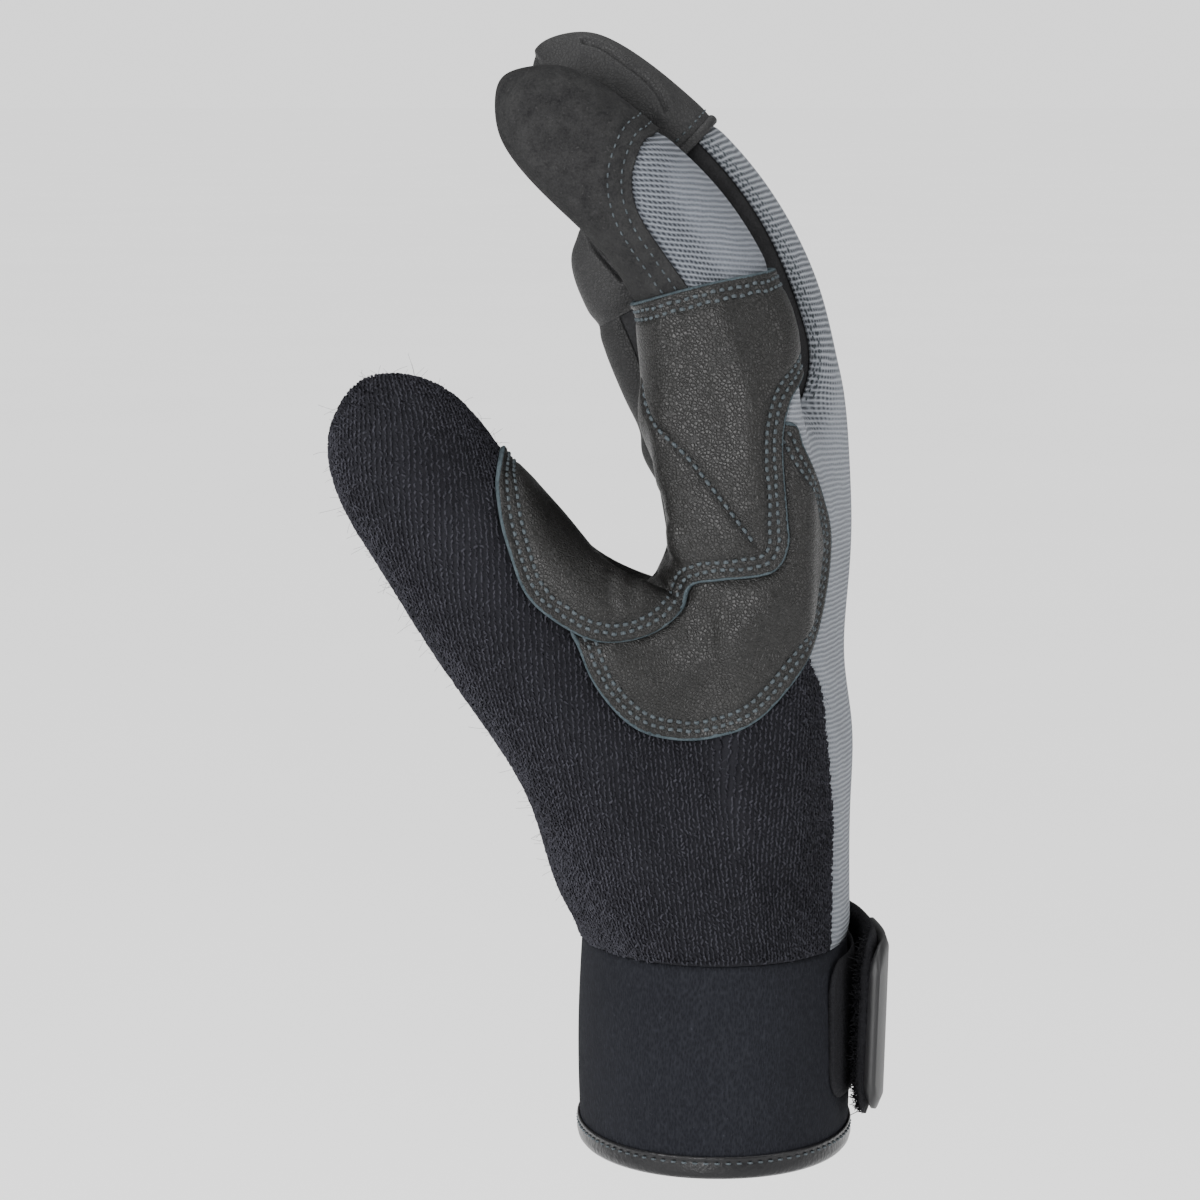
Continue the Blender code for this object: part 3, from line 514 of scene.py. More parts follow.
# %% Outlines of the leather patches
# Shares of the hand's depth (X) and of its length above the cuff, seen from the thumb's side
CRESCENT = (
    (0.27, 1.005), (0.36, 0.957), (0.454, 0.866), (0.50, 0.776), (0.457, 0.648), (0.367, 0.561),
    (0.187, 0.475), (0.004, 0.438), (-0.178, 0.429), (-0.385, 0.451), (-0.546, 0.517),
    (-0.637, 0.594), (-0.70, 0.72), (-0.20, 0.98),
)
OVERLAY = (
    (0.38, 1.35), (0.30, 1.20), (0.346, 1.136), (0.346, 1.086), (0.293, 1.047), (0.263, 0.992),
    (0.263, 0.938), (0.287, 0.829), (0.291, 0.784), (0.228, 0.739), (0.002, 0.726),
    (-0.126, 0.715), (-0.18, 0.666), (-0.317, 0.626), (-0.50, 0.611), (-0.659, 0.628),
    (-0.863, 0.688), (-0.954, 0.766), (-1.013, 0.857), (-1.01, 0.955), (-0.85, 1.30),
    (-0.3, 1.7),
)
WINDOW = (
    (-0.300, 1.523), (-0.362, 1.505), (-0.408, 1.452), (-0.400, 1.405), (-0.360, 1.365),
    (-0.270, 1.312), (-0.150, 1.245), (0.0, 1.17), (0.30, 1.05), (0.80, 1.20), (0.45, 1.50),
    (0.0, 1.62), (-0.20, 1.56),
)
DART = ((-0.325, 1.075), (-0.296, 1.02), (-0.10, 0.925), (0.159, 0.785))
KNIT_SEAM = (
    (0.20, 1.20), (0.20, 0.95), (0.50, 0.776), (0.40, 0.577), (0.48, 0.505), (0.50, 0.431),
    (0.528, 0.322), (0.55, 0.212), (0.60, 0.108), (0.66, -0.05),
)


def curved(points, steps, closed=True):
    """A smooth line through a few points."""
    points = np.array(points, dtype=float)
    count = len(points)
    made = []
    for place in range(count if closed else count - 1):
        reach = [place - 1, place, place + 1, place + 2]
        reach = [step % count for step in reach] if closed else np.clip(reach, 0, count - 1)
        before, start, end, after = points[reach]
        for t in np.arange(steps) / steps:
            made.append(0.5 * (2 * start + (end - before) * t
                               + (2 * before - 5 * start + 4 * end - after) * t * t
                               + (3 * start - before - 3 * end + after) * t ** 3))
    if not closed:
        made.append(points[-1])
    return np.array(made)


def on_hand(shares, steps=6, closed=True):
    places = np.array(shares) * (HAND_DEPTH, HAND_LENGTH) + (0, SEAM_HEIGHT - GAP)
    return curved(places, steps, closed)


def inside_outline(cloth, outline):
    """Distance inside an outline drawn in side view: above zero inside it."""
    points = cloth.points[:, (0, 2)]
    nearest = np.full(len(points), np.inf)
    inside = np.zeros(len(points), dtype=bool)
    for start, end in zip(outline, np.roll(outline, -1, axis=0)):
        run = end - start
        share = np.clip(((points - start) @ run) / (run @ run), 0, 1)
        nearest = np.minimum(nearest, np.linalg.norm(points - start - share[:, None] * run, axis=1))
        crosses = (start[1] > points[:, 1]) != (end[1] > points[:, 1])
        rise = run[1] if run[1] else 1e-9
        inside ^= crosses & (points[:, 0] < start[0] + run[0] * (points[:, 1] - start[1]) / rise)
    return np.where(inside, nearest, -nearest)


# %% One rule for each seam
CAP_START = 0.62
KNIT_EDGE = 0.66
PALM_EDGE = -0.55
OVERLAY_HEM, HEM_CLIMB, HEM_TURN = 0.31, 0.2, 0.17
OVERLAY_REACH = -0.262
OVERLAY_OUTLINE, CRESCENT_OUTLINE = on_hand(OVERLAY), on_hand(CRESCENT)
WINDOW_OUTLINE = on_hand(WINDOW)


def reach(cloth, limb):
    return cloth.marks[:, limb]


def beyond(cloth, number, share):
    return reach(cloth, number) - share * FINGERS[number].length


def past_hem(cloth):
    """Above zero past the overlay's upper hem, which climbs towards the palm."""
    climb_here = HEM_CLIMB * (cloth.points[:, 0] - HEM_TURN * HAND_DEPTH)
    return beyond(cloth, INDEX, OVERLAY_HEM) + climb_here


def finger_middle(number):
    return FINGERS[number].across * HAND_WIDTH


def thumb_half(cloth):
    return OVERLAY_REACH * HAND_WIDTH - cloth.points[:, 1]


def back_share(cloth, share):
    return (cloth.marks[:, SIDE] - share) * FINGER_DEPTH / 2


def overlay_rule(cloth):
    rules = (inside_outline(cloth, OVERLAY_OUTLINE), -past_hem(cloth))
    return np.minimum(np.minimum(*rules), thumb_half(cloth))


def crescent_rule(cloth):
    return np.minimum(inside_outline(cloth, CRESCENT_OUTLINE), thumb_half(cloth))


def strip_rule(cloth, number):
    """The side strip between two fingers, from one cap down round the web to the other."""
    value = np.minimum(-back_share(cloth, KNIT_EDGE), back_share(cloth, PALM_EDGE))
    value = np.minimum(value, cloth.points[:, 1] - finger_middle(number))
    value = np.minimum(value, finger_middle(number + 1) - cloth.points[:, 1])
    for limb in (number, number + 1):
        value = np.minimum(value, -beyond(cloth, limb, CAP_START))
    return value


def window_rule(cloth):
    far_side = np.minimum(back_share(cloth, KNIT_EDGE), reach(cloth, INDEX))
    value = np.where(cloth.points[:, 1] < finger_middle(INDEX), 1.0, far_side)
    value = np.minimum(value, inside_outline(cloth, WINDOW_OUTLINE))
    return np.minimum(value, past_hem(cloth))


def knit_rule(cloth):
    table = np.array(sorted((height, place) for place, height in KNIT_SEAM))
    rise = (cloth.points[:, 2] - SEAM_HEIGHT + GAP) / HAND_LENGTH
    seam = np.interp(rise, table[:, 0], table[:, 1]) * HAND_DEPTH
    near = (cloth.points[:, 1] < OVERLAY_REACH * HAND_WIDTH) & (reach(cloth, INDEX) <= 0)
    return np.where(near, cloth.points[:, 0] - seam, back_share(cloth, KNIT_EDGE))


def palm_rule(cloth):
    return cloth.marks[:, PALM]


def inner_thumb_rule(cloth):
    """Above zero on the half of the thumb and its heel that faces the palm."""
    spread = THUMB_SPREAD * np.maximum(reach(cloth, THUMB), 0)
    return np.minimum(cloth.points[:, 1] - THUMB_ROOT[1] * HAND_WIDTH + spread, -cloth.points[:, 0])


RULES = {"fourchette_" + FINGERS[number].name: lambda cloth, number=number: strip_rule(cloth, number)
         for number in range(3)}
RULES.update({FINGERS[number].name + "_cap":
              lambda cloth, number=number: beyond(cloth, number, CAP_START) for number in (1, 2, 3)})
RULES.update(index_overlay=overlay_rule, crescent_patch=crescent_rule, index_window=window_rule,
             index_cap=past_hem, back_knit=knit_rule, palm_leather=palm_rule,
             thumb_inside=inner_thumb_rule)


def panel(name, level):
    """One sewn panel: inside its own rule, and outside those of the panels sewn over it."""
    cloth = SKIN[level]
    low, high = (np.array(corner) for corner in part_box(name))
    near = ((cloth.points > low - 0.006) & (cloth.points < high + 0.006)).all(axis=1)
    keep = cloth.faces[near[cloth.faces].all(axis=1)]
    cloth = Cloth(cloth.points, cloth.normals, cloth.marks, keep)
    for other, rule in RULES.items():
        if other == name:
            cloth = cut(cloth, rule(cloth))
            break
        cloth = cut(cloth, -rule(cloth))
    return largest(cloth)


# %% [markdown]
# A cut edge is the plainest sign of real leather: it shows the raw thickness of the hide. To
# draw it, and to sew beside it, the panel's border is walked into a line, evened out, and
# kept with the skin's normals.

# %% Walk and smooth the border of a cloth
Path = namedtuple("Path", "points normals closed")


def border_edges(cloth):
    directed = np.vstack([cloth.faces[:, (0, 1)], cloth.faces[:, (1, 2)], cloth.faces[:, (2, 0)]])
    keys = directed.min(axis=1) * len(cloth.points) + directed.max(axis=1)
    _, first, counts = np.unique(keys, return_index=True, return_counts=True)
    return directed[first[counts == 1]]


def run_lengths(points):
    """The distance walked along a line up to each of its points."""
    return np.append(0, np.cumsum(np.linalg.norm(np.diff(points, axis=0), axis=1)))


def at_places(values, lengths, places):
    """A line's values at some distances along it."""
    return np.stack([np.interp(places, lengths, values[:, axis]) for axis in range(3)], axis=1)


def evened(points, normals, closed, step, passes):
    """A line with evenly spaced points, smoothed, that keeps its two ends."""
    if closed:
        points, normals = np.vstack([points, points[:1]]), np.vstack([normals, normals[:1]])
    for _ in range(passes):
        if closed:
            ring = points[:-1]
            ring = (np.roll(ring, 1, axis=0) + 2 * ring + np.roll(ring, -1, axis=0)) / 4
            points = np.vstack([ring, ring[:1]])
        else:
            points[1:-1] = (points[:-2] + 2 * points[1:-1] + points[2:]) / 4
        normals[1:-1] = (normals[:-2] + 2 * normals[1:-1] + normals[2:]) / 4
    lengths = run_lengths(points)
    count = max(3, int(round(lengths[-1] / step)) + 1)
    places = np.linspace(0, lengths[-1], count)
    points, normals = at_places(points, lengths, places), at_places(normals, lengths, places)
    if closed:
        points, normals = points[:-1], normals[:-1]
    return Path(points, unit(normals), closed)


def border_paths(cloth, keep=None, step=0.0006, passes=12):
    """The border's lines, with the panel on their left, where keep is true; longest first."""
    edges = border_edges(cloth)
    if keep is not None:
        edges = edges[keep[edges].all(axis=1)]
    following = dict(edges.tolist())
    starts = set(following) - set(following.values())
    paths = []
    while following:
        start = starts.pop() if starts else next(iter(following))
        line = [start]
        while line[-1] in following:
            line.append(following.pop(line[-1]))
        closed = line[0] == line[-1]
        if closed:
            line.pop()
        if len(line) > 4:
            points, normals = cloth.points[line], cloth.normals[line]
            paths.append(evened(points, normals, closed, step, passes))
    return sorted(paths, key=lambda path: -len(path.points))


def on_line(value, width=0.00012):
    return np.abs(value) < width


def away_from(points, paths):
    """Distance of each point from the nearest of some lines."""
    if not paths:
        return np.full(len(points), 1.0)
    targets = np.vstack([path.points for path in paths])
    tree = KDTree(len(targets))
    for place, point in enumerate(targets):
        tree.insert(point, place)
    tree.balance()
    return np.array([tree.find(point)[2] for point in points])


# %% Sweep a shape along a line
def directions(path):
    """Unit vectors along the line and to its left, on the skin."""
    if path.closed:
        run = np.roll(path.points, -1, axis=0) - np.roll(path.points, 1, axis=0)
    else:
        run = np.gradient(path.points, axis=0)
    along = unit(run)
    return along, unit(np.cross(path.normals, along))


def ring_faces(rings, sides, closed=True):
    """Faces of a tube of rings, which joins up with itself or else is capped at both ends."""
    faces = []
    for here in range(rings if closed else rings - 1):
        after = (here + 1) % rings
        for side in range(sides):
            other = (side + 1) % sides
            faces.append((here * sides + side, here * sides + other,
                          after * sides + other, after * sides + side))
    if not closed:
        faces += [tuple(range(sides))[::-1], tuple(range((rings - 1) * sides, rings * sides))]
    return faces


def sweep(path, profile, taper=0):
    """A tube round a line: profile rows are (left, up) in metres; taper narrows its ends."""
    along, left = directions(path)
    up = np.cross(along, left)
    count, sides = len(path.points), len(profile)
    sizes = np.ones(count)
    if taper and not path.closed:
        ends = np.minimum(np.arange(count), np.arange(count)[::-1])
        sizes = smoothstep((ends + 0.5) / taper)
    points = (path.points[:, None]
              + left[:, None] * (np.array(profile)[:, 0])[None, :, None] * sizes[:, None, None]
              + up[:, None] * (np.array(profile)[:, 1])[None, :, None] * sizes[:, None, None])
    return points.reshape(-1, 3), ring_faces(count, sides, path.closed)


def round_profile(width, height, segments=8):
    """An oval section, anticlockwise when seen along the line with left and up as axes."""
    turns = np.linspace(0, 2 * math.pi, segments, endpoint=False)
    return [(-width / 2 * math.sin(turn), height / 2 * math.cos(turn)) for turn in turns]


def joined(shapes):
    """Several (points, faces) shapes as one."""
    points, faces, start = [], [], 0
    for shape_points, shape_faces in shapes:
        points.append(shape_points)
        faces += [tuple(int(corner) + start for corner in face) for face in shape_faces]
        start += len(shape_points)
    return np.vstack(points), faces


# %% [markdown]
# Now each panel becomes a real wall. Its outer side is lifted by a height that depends on how
# far a point is from the panel's own edge: a patch is thick and rolls over at its rim, and
# cloth dips towards a turned seam. The inner side follows at the wall's thickness.

# %% Turn a cloth into a wall
def add_mesh(name, points, faces, slot, material, nodes=(), marks=None):
    """Makes an object from a shape, and says what it rides on, wears and stands for."""
    mesh = bpy.data.meshes.new(name)
    if isinstance(faces, np.ndarray):
        faces = faces.tolist()
    mesh.from_pydata(np.asarray(points).tolist(), [], faces)
    mesh.shade_smooth()
    for mark, values in (marks or {}).items():
        layer = mesh.attributes.new(mark, "FLOAT", "POINT")
        layer.data.foreach_set("value", np.asarray(values, dtype=np.float32))
    mesh.materials.append(material)
    piece = bpy.data.objects.new(name, mesh)
    bpy.context.collection.objects.link(piece)
    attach(piece, "root")
    if nodes:
        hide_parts(*nodes)
    return piece


def wall(cloth, outward, inward):
    """A closed wall: the cloth pushed out and in along its normals, with its rim closed."""
    outward = np.broadcast_to(outward, len(cloth.points))[:, None]
    inward = np.broadcast_to(inward, len(cloth.points))[:, None]
    count = len(cloth.points)
    points = np.vstack([cloth.points + cloth.normals * outward,
                        cloth.points - cloth.normals * inward])
    edges = border_edges(cloth)
    rim = np.vstack([np.stack([edges[:, 1], edges[:, 0], edges[:, 0] + count], axis=1),
                     np.stack([edges[:, 1], edges[:, 0] + count, edges[:, 1] + count], axis=1)])
    return points, np.vstack([cloth.faces, cloth.faces[:, ::-1] + count, rim])


def dip(distance, depth, width):
    """How far cloth sinks near a seam."""
    return -depth * np.exp(-(distance / width) ** 2)


def rolled(distance, height, radius):
    """A rim that rises as a quarter circle to the full height."""
    share = np.clip(distance / radius, 0, 1)
    return height * np.sqrt(np.maximum(1 - (1 - share) ** 2, 0))


def surface_tree(points, faces):
    return BVHTree.FromPolygons(np.asarray(points).tolist(), np.asarray(faces).tolist())


# %% Lines beside an edge, and the stitches on them
Stitch = namedtuple("Stitch", "pitch length width height")
FINE_STITCH = Stitch(0.0021, 0.0013, 0.00042, 0.00036)
SHORTEST_ROW = 40
THUMB_SIDE_Y = -0.3


def beside(path, distance, tree, lift=0.0, step=0.0005, passes=8):
    """The line at a distance inside an edge, laid on a surface."""
    _, left = directions(path)
    placed, normals = [], []
    for point in path.points + left * distance:
        spot, normal, _, _ = tree.find_nearest(point)
        placed.append(np.array(spot) + np.array(normal) * lift)
        normals.append(np.array(normal))
    return evened(np.array(placed), np.array(normals), path.closed, step, passes)


def laid(path, tree, lift=0.0):
    """The same line on another surface."""
    return beside(path, 0.0, tree, lift, passes=2)


def rows_inside(cloth, edges, distances):
    """Lines across a panel at set distances from some edges."""
    rows = []
    for distance in distances:
        inner = cut(cloth, away_from(cloth.points, edges) - distance)
        value = away_from(inner.points, edges) - distance
        rows += [path for path in border_paths(inner, on_line(value, 0.00009))
                 if len(path.points) > SHORTEST_ROW]
    return rows


def drawn(shares, tree, steps=12):
    """A line drawn in side view and laid on a surface from the thumb's side."""
    spots, normals = [], []
    for x, z in on_hand(shares, steps, closed=False):
        spot, normal, _, _ = tree.ray_cast((x, THUMB_SIDE_Y, z), (0, 1, 0))
        if spot is not None:
            spots.append(np.array(spot))
            normals.append(np.array(normal))
    return evened(np.array(spots), np.array(normals), False, 0.0005, 3)


def stitched(path, kind=FINE_STITCH, sides=6):
    """Short arched threads along a line, their ends sunk into the cloth."""
    lengths = run_lengths(path.points)
    shares = (0.0, 0.18, 0.5, 0.82, 1.0)
    widths = (0.25, 0.9, 1.0, 0.9, 0.25)
    lifts = (-0.9, 0.05, 0.45, 0.05, -0.9)
    shapes = []
    for number in range(int(lengths[-1] / kind.pitch)):
        start = number * kind.pitch + (kind.pitch - kind.length) / 2
        places = start + np.array(shares) * kind.length
        points = at_places(path.points, lengths, places)
        normals = unit(at_places(path.normals, lengths, places))
        run = unit(np.gradient(points, axis=0))
        left = unit(np.cross(normals, run))
        rings = []
        for point, normal, side, width, lift in zip(points, normals, left, widths, lifts):
            for turn in np.linspace(0, 2 * math.pi, sides, endpoint=False):
                across = -side * math.sin(turn) * kind.width / 2 * width
                up = normal * (math.cos(turn) * kind.height / 2 * width + lift * kind.height)
                rings.append(point + across + up)
        shapes.append((np.array(rings), ring_faces(len(shares), sides, closed=False)))
    return joined(shapes)


# %% [markdown]
# The finishes follow. Each is a small network: a pattern drives the bump, in most the same
# pattern darkens the colour where the bump is low, which paints in a little shade, and a slower
# noise keeps any large area from looking printed.
# Patterns are laid in the object's own metres, so the grain has its real size everywhere.

# %% Helpers for finishes
class Finish:
    """A Principled material whose patterns are wired up step by step."""

    def __init__(self, name, **values):
        self.material = bpy.data.materials.new(name)
        self.material.use_nodes = True
        self.tree = self.material.node_tree
        self.shader = self.tree.nodes["Principled BSDF"]
        for socket, value in values.items():
            self.shader.inputs[socket.replace("_", " ")].default_value = value
        self.place = self.tree.nodes.new("ShaderNodeTexCoord").outputs["Object"]
        self.normal = None

    def add(self, kind, output=0, settings=None, **inputs):
        made = self.tree.nodes.new("ShaderNode" + kind)
        for name, value in (settings or {}).items():
            setattr(made, name, value)
        for name, value in inputs.items():
            socket = made.inputs[int(name[1:]) if name[1:].isdigit() else name.replace("_", " ")]
            if isinstance(value, bpy.types.NodeSocket):
                self.tree.links.new(value, socket)
            else:
                socket.default_value = value
        return made.outputs[output]

    def math(self, operation, first, second=0.0):
        return self.add("Math", settings={"operation": operation}, i0=first, i1=second)

    def blend(self, *parts):
        """The sum of some values, each times its weight."""
        total = None
        for value, weight in parts:
            part = self.math("MULTIPLY", value, weight)
            total = part if total is None else self.math("ADD", total, part)
        return total

    def mark(self, name):
        return self.add("Attribute", output="Fac", settings={"attribute_name": name})

    def noise(self, scale, detail=2.0, roughness=0.5):
        return self.add("TexNoise", Vector=self.place, Scale=scale, Detail=detail,
                        Roughness=roughness)

    def cells(self, scale, feature="F1", place=None):
        return self.add("TexVoronoi", output="Distance", settings={"feature": feature},
                        Vector=place or self.place, Scale=scale)

    def stretched(self, scale):
        return self.add("Mapping", Vector=self.place, Scale=scale)

    def remap(self, value, low, high, new_low=0.0, new_high=1.0):
        return self.add("MapRange", Value=value, From_Min=low, From_Max=high, To_Min=new_low,
                        To_Max=new_high)

    def ramp(self, value, *stops):
        """Colours along a value: each stop is a place and a colour."""
        made = self.tree.nodes.new("ShaderNodeValToRGB")
        self.tree.links.new(value, made.inputs["Fac"])
        elements = made.color_ramp.elements
        while len(elements) < len(stops):
            elements.new(0.5)
        for element, (place, colour) in zip(elements, stops):
            element.position = place
            element.color = (*colour, 1.0)
        return made.outputs["Color"]

    def bump(self, height, depth, strength=1.0):
        """Adds relief: height from 0 to 1 is depth metres high."""
        made = self.tree.nodes.new("ShaderNodeBump")
        made.inputs["Strength"].default_value = strength
        made.inputs["Distance"].default_value = depth
        self.tree.links.new(height, made.inputs["Height"])
        if self.normal is not None:
            self.tree.links.new(self.normal, made.inputs["Normal"])
        self.normal = made.outputs["Normal"]
        self.tree.links.new(self.normal, self.shader.inputs["Normal"])

    def wire(self, value, socket):
        self.tree.links.new(value, self.shader.inputs[socket])


# %% Leather: pebbled grain with a soft shine
PEBBLE_SCALE = 1350.0


def grain_leather(name, dark, light, roughness, depth=0.00009, wrinkle=0.0010):
    made = Finish(name, IOR=1.46, Specular_IOR_Level=0.22)
    pebbles = made.remap(made.cells(PEBBLE_SCALE, "DISTANCE_TO_EDGE"), 0.0, 0.22)
    made.bump(made.noise(95.0, 3.0, 0.45), wrinkle)
    made.bump(made.noise(420.0, 2.0, 0.5), 0.00012)
    made.bump(made.noise(PEBBLE_SCALE * 2.5, 2.0, 0.5), depth * 0.3)
    made.bump(pebbles, depth)
    # Half the colour follows the pebbles, so the creases between them are darker: painted shade. The
    # other half is a random tone.
    tone = made.blend((made.noise(45.0, 4.0, 0.6), 0.5), (pebbles, 0.5))
    made.wire(made.ramp(tone, (0.2, dark), (0.8, light)), "Base Color")
    creased = made.remap(pebbles, 0.0, 1.0, roughness + 0.12, roughness)
    made.wire(creased, "Roughness")
    return made.material


LEATHER = grain_leather("grain_leather", (0.0025, 0.0025, 0.0024), (0.0080, 0.0077, 0.0073), 0.36)
PALM_HIDE = grain_leather("palm_leather", (0.0045, 0.0045, 0.0047), (0.0095, 0.0095, 0.0097), 0.55,
                          depth=0.00007)
CAP_HIDE = grain_leather("cap_leather", (0.0075, 0.0075, 0.0078), (0.0150, 0.0150, 0.0153), 0.50,
                         depth=0.00006, wrinkle=0.0006)


# %% Nubuck, suede and the raw cut edge
def napped_leather(name, dark, light, nap):
    made = Finish(name, Roughness=0.95, IOR=1.15)
    fine = made.noise(nap, 4.0, 0.7)
    made.bump(made.noise(130.0, 3.0), 0.0010, 0.7)
    made.bump(fine, 0.00022)
    specks = made.remap(made.noise(1500.0, 1.0), 0.70, 0.78)
    patches = made.blend((made.noise(260.0, 4.0, 0.75), 0.6), (fine, 0.65), (specks, 0.5))
    made.wire(made.ramp(patches, (0.4, dark), (0.85, light)), "Base Color")
    return made.material


NUBUCK = napped_leather("nubuck", (0.006, 0.006, 0.0065), (0.023, 0.023, 0.023), 2000.0)
SUEDE = napped_leather("suede", (0.009, 0.009, 0.0095), (0.019, 0.019, 0.020), 2000.0)
RAW_EDGE = napped_leather("raw_edge", (0.012, 0.017, 0.020), (0.050, 0.064, 0.072), 1600.0)


# %% Thread
def thread(name, colour):
    made = Finish(name, Roughness=0.6, Specular_IOR_Level=0.2)
    twist = made.add("TexWave", Vector=made.place, Scale=900.0, Distortion=1.0)
    made.bump(twist, 0.0001, 0.6)
    light = tuple(1.6 * part for part in colour)
    made.wire(made.ramp(made.noise(1500.0), (0.35, colour), (0.7, light)), "Base Color")
    return made.material


THREAD = thread("slate_thread", (0.026, 0.032, 0.036))


# %% Terry: ground cloth and loops
WALE_PITCH = 0.00125


def terry(name, dark, light):
    """Yarn that is darker in some loops than in others, by the mark tone."""
    made = Finish(name, Roughness=0.95, IOR=1.15)
    fibre = made.noise(5200.0, 3.0, 0.7)
    made.bump(fibre, 0.00014)
    tone = made.blend((made.mark("tone"), 0.6), (made.noise(55.0, 3.0), 0.5), (fibre, 0.2))
    made.wire(made.ramp(tone, (0.3, dark), (0.95, light)), "Base Color")
    return made.material


# The ground cloth is the loops' own yarn, given a darker colour: painted shade of the gaps between
# the loops.
TERRY_GROUND_SHADED = terry("terry_ground", (0.009, 0.009, 0.011), (0.018, 0.018, 0.022))
TERRY_LOOP = terry("terry_loop", (0.011, 0.011, 0.0135), (0.027, 0.027, 0.033))


# %% Ribbed knit
RIB_PITCH = 0.00106
LADDER_COLUMNS = 9.5


def rib_knit(name, dark, light):
    made = Finish(name, Roughness=0.85, Sheen_Weight=0.04, Specular_IOR_Level=0.12)
    wander = made.math("MULTIPLY", made.noise(220.0, 2.0), 0.0007)
    along = made.math("ADD", made.mark("along"), wander)
    rib = made.math("SINE", made.math("MULTIPLY", along, 2 * math.pi / RIB_PITCH))
    columns = made.math("MULTIPLY", made.mark("around"), 2 * math.pi * LADDER_COLUMNS)
    ladder = made.math("SINE", columns)
    rib = made.remap(rib, -1.0, 1.0)
    ladder = made.remap(ladder, -1.0, 1.0)
    dots = made.math("MULTIPLY", made.math("SUBTRACT", 1.0, rib), made.math("SUBTRACT", 1.0, ladder))
    dots = made.math("MULTIPLY", dots, made.mark("ladder"))
    fibre = made.noise(3000.0, 3.0, 0.7)
    height = made.math("SUBTRACT", rib, made.math("MULTIPLY", dots, 1.1))
    made.bump(made.math("ADD", height, made.math("MULTIPLY", fibre, 0.35)), 0.0003)
    # The colour follows the rib height, so the grooves between the ribs and the ladder's holes are
    # darker: painted shade. The fibre and slow noise add a random tone.
    tone = made.blend((height, 0.38), (fibre, 0.5), (made.noise(40.0, 3.0), 0.2))
    made.wire(made.ramp(tone, (0.0, dark), (0.8, light)), "Base Color")
    return made.material


KNIT = rib_knit("rib_knit", (0.030, 0.034, 0.041), (0.195, 0.208, 0.228))
WINDOW_KNIT = rib_knit("window_knit", (0.014, 0.017, 0.023), (0.132, 0.142, 0.160))


# %% Stretch jersey, binding, rubber and hook pile
def jersey(name, dark, light):
    made = Finish(name, Roughness=0.95, IOR=1.15)
    weave = made.cells(2600.0, place=made.stretched((1.0, 1.0, 0.35)))
    made.bump(weave, 0.00016)
    lint = made.remap(made.noise(1100.0, 1.0), 0.74, 0.78)
    tone = made.blend((weave, 0.4), (lint, 0.5), (made.noise(30.0, 3.0), 0.2))
    made.wire(made.ramp(tone, (0.1, dark), (0.9, light)), "Base Color")
    return made.material


def smooth_rubber(name, colour, roughness, grain=0.00005, shine=0.3):
    made = Finish(name, Roughness=roughness, Specular_IOR_Level=shine)
    made.bump(made.noise(900.0, 3.0), grain)
    light = tuple(1.5 * part for part in colour)
    made.wire(made.ramp(made.noise(60.0, 3.0), (0.3, colour), (0.8, light)), "Base Color")
    return made.material


STRETCH = jersey("stretch_jersey", (0.0042, 0.0044, 0.0058), (0.018, 0.019, 0.0235))
BINDING = smooth_rubber("binding", (0.0045, 0.0045, 0.0050), 0.30, 0.00020, 0.17)
RUBBER = smooth_rubber("tab_rubber", (0.0060, 0.0060, 0.0065), 0.50)
PILE = smooth_rubber("hook_pile", (0.0060, 0.0060, 0.0070), 0.85, 0.0006, 0.08)
print("finishes:", len(bpy.data.materials))


# %% [markdown]
# The terry thumb is the biggest piece. Terry is towel cloth: yarn stands up from the ground
# cloth in little loops, row beside row. Bump alone leaves its outline smooth, so the loops are
# real here: arches of yarn scattered over the cloth, pulled onto wales that run up the glove.

# %% Scatter points over a cloth
def wale_marks(cloth):
    """Which wale a point lies on, in metres across: X, and more where the cloth turns away."""
    _, _, centres = thumb_rings()
    middle_x = np.interp(cloth.points[:, 2], [SEAM_HEIGHT, *centres[:, 2]], [0.0, *centres[:, 0]])
    nearest = SKIN[3].points[:, 1].min()
    turn = np.clip((cloth.points[:, 0] - middle_x) / (THUMB_DEPTH / 2), -1, 1)
    return cloth.points[:, 0] + (cloth.points[:, 1] - nearest) * turn


def climb(cloth, values):
    """For each face, the vector along which a value grows, on the cloth."""
    corners, there = cloth.points[cloth.faces], values[cloth.faces]
    across = square_to(corners)
    size = (across ** 2).sum(axis=1)[:, None]
    first = np.cross(across, corners[:, 0] - corners[:, 2]) * (there[:, 1] - there[:, 0])[:, None]
    second = np.cross(across, corners[:, 1] - corners[:, 0]) * (there[:, 2] - there[:, 0])[:, None]
    return (first + second) / np.maximum(size, 1e-20)


Spots = namedtuple("Spots", "points normals across values")


def scattered(cloth, values, count, seed):
    """Random points on a cloth, with the value there and the way it grows."""
    random = np.random.default_rng(seed)
    area = np.linalg.norm(square_to(cloth.points[cloth.faces]), axis=1)
    picks = random.choice(len(area), count, p=area / area.sum())
    shares = random.random((count, 2))
    outside = shares.sum(axis=1) > 1
    shares[outside] = 1 - shares[outside]
    shares = np.hstack([1 - shares.sum(axis=1, keepdims=True), shares])
    spread = [(part[cloth.faces][picks] * shares[:, :, None]).sum(axis=1)
              for part in (cloth.points, cloth.normals, values[:, None])]
    return Spots(spread[0], unit(spread[1]), climb(cloth, values)[picks], spread[2][:, 0])


def thinned(points, spacing):
    """Places of points that keep a distance from each other, first come first kept."""
    taken, kept = {}, []
    for place, point in enumerate(points):
        cell = tuple(int(part // spacing) for part in point)
        near = (taken.get((cell[0] + i, cell[1] + j, cell[2] + k))
                for i in (-1, 0, 1) for j in (-1, 0, 1) for k in (-1, 0, 1))
        if all(other is None or math.dist(point, other) > spacing for other in near):
            taken[cell] = point
            kept.append(place)
    return kept


# %% Arches of yarn
LOOP_LENGTH, LOOP_RISE, YARN = 0.00078, 0.00034, 0.00027
LOOP_SPACING, LOOP_LIMIT, LOOPS_IN_PIECE = 0.00064, 13000, 8000


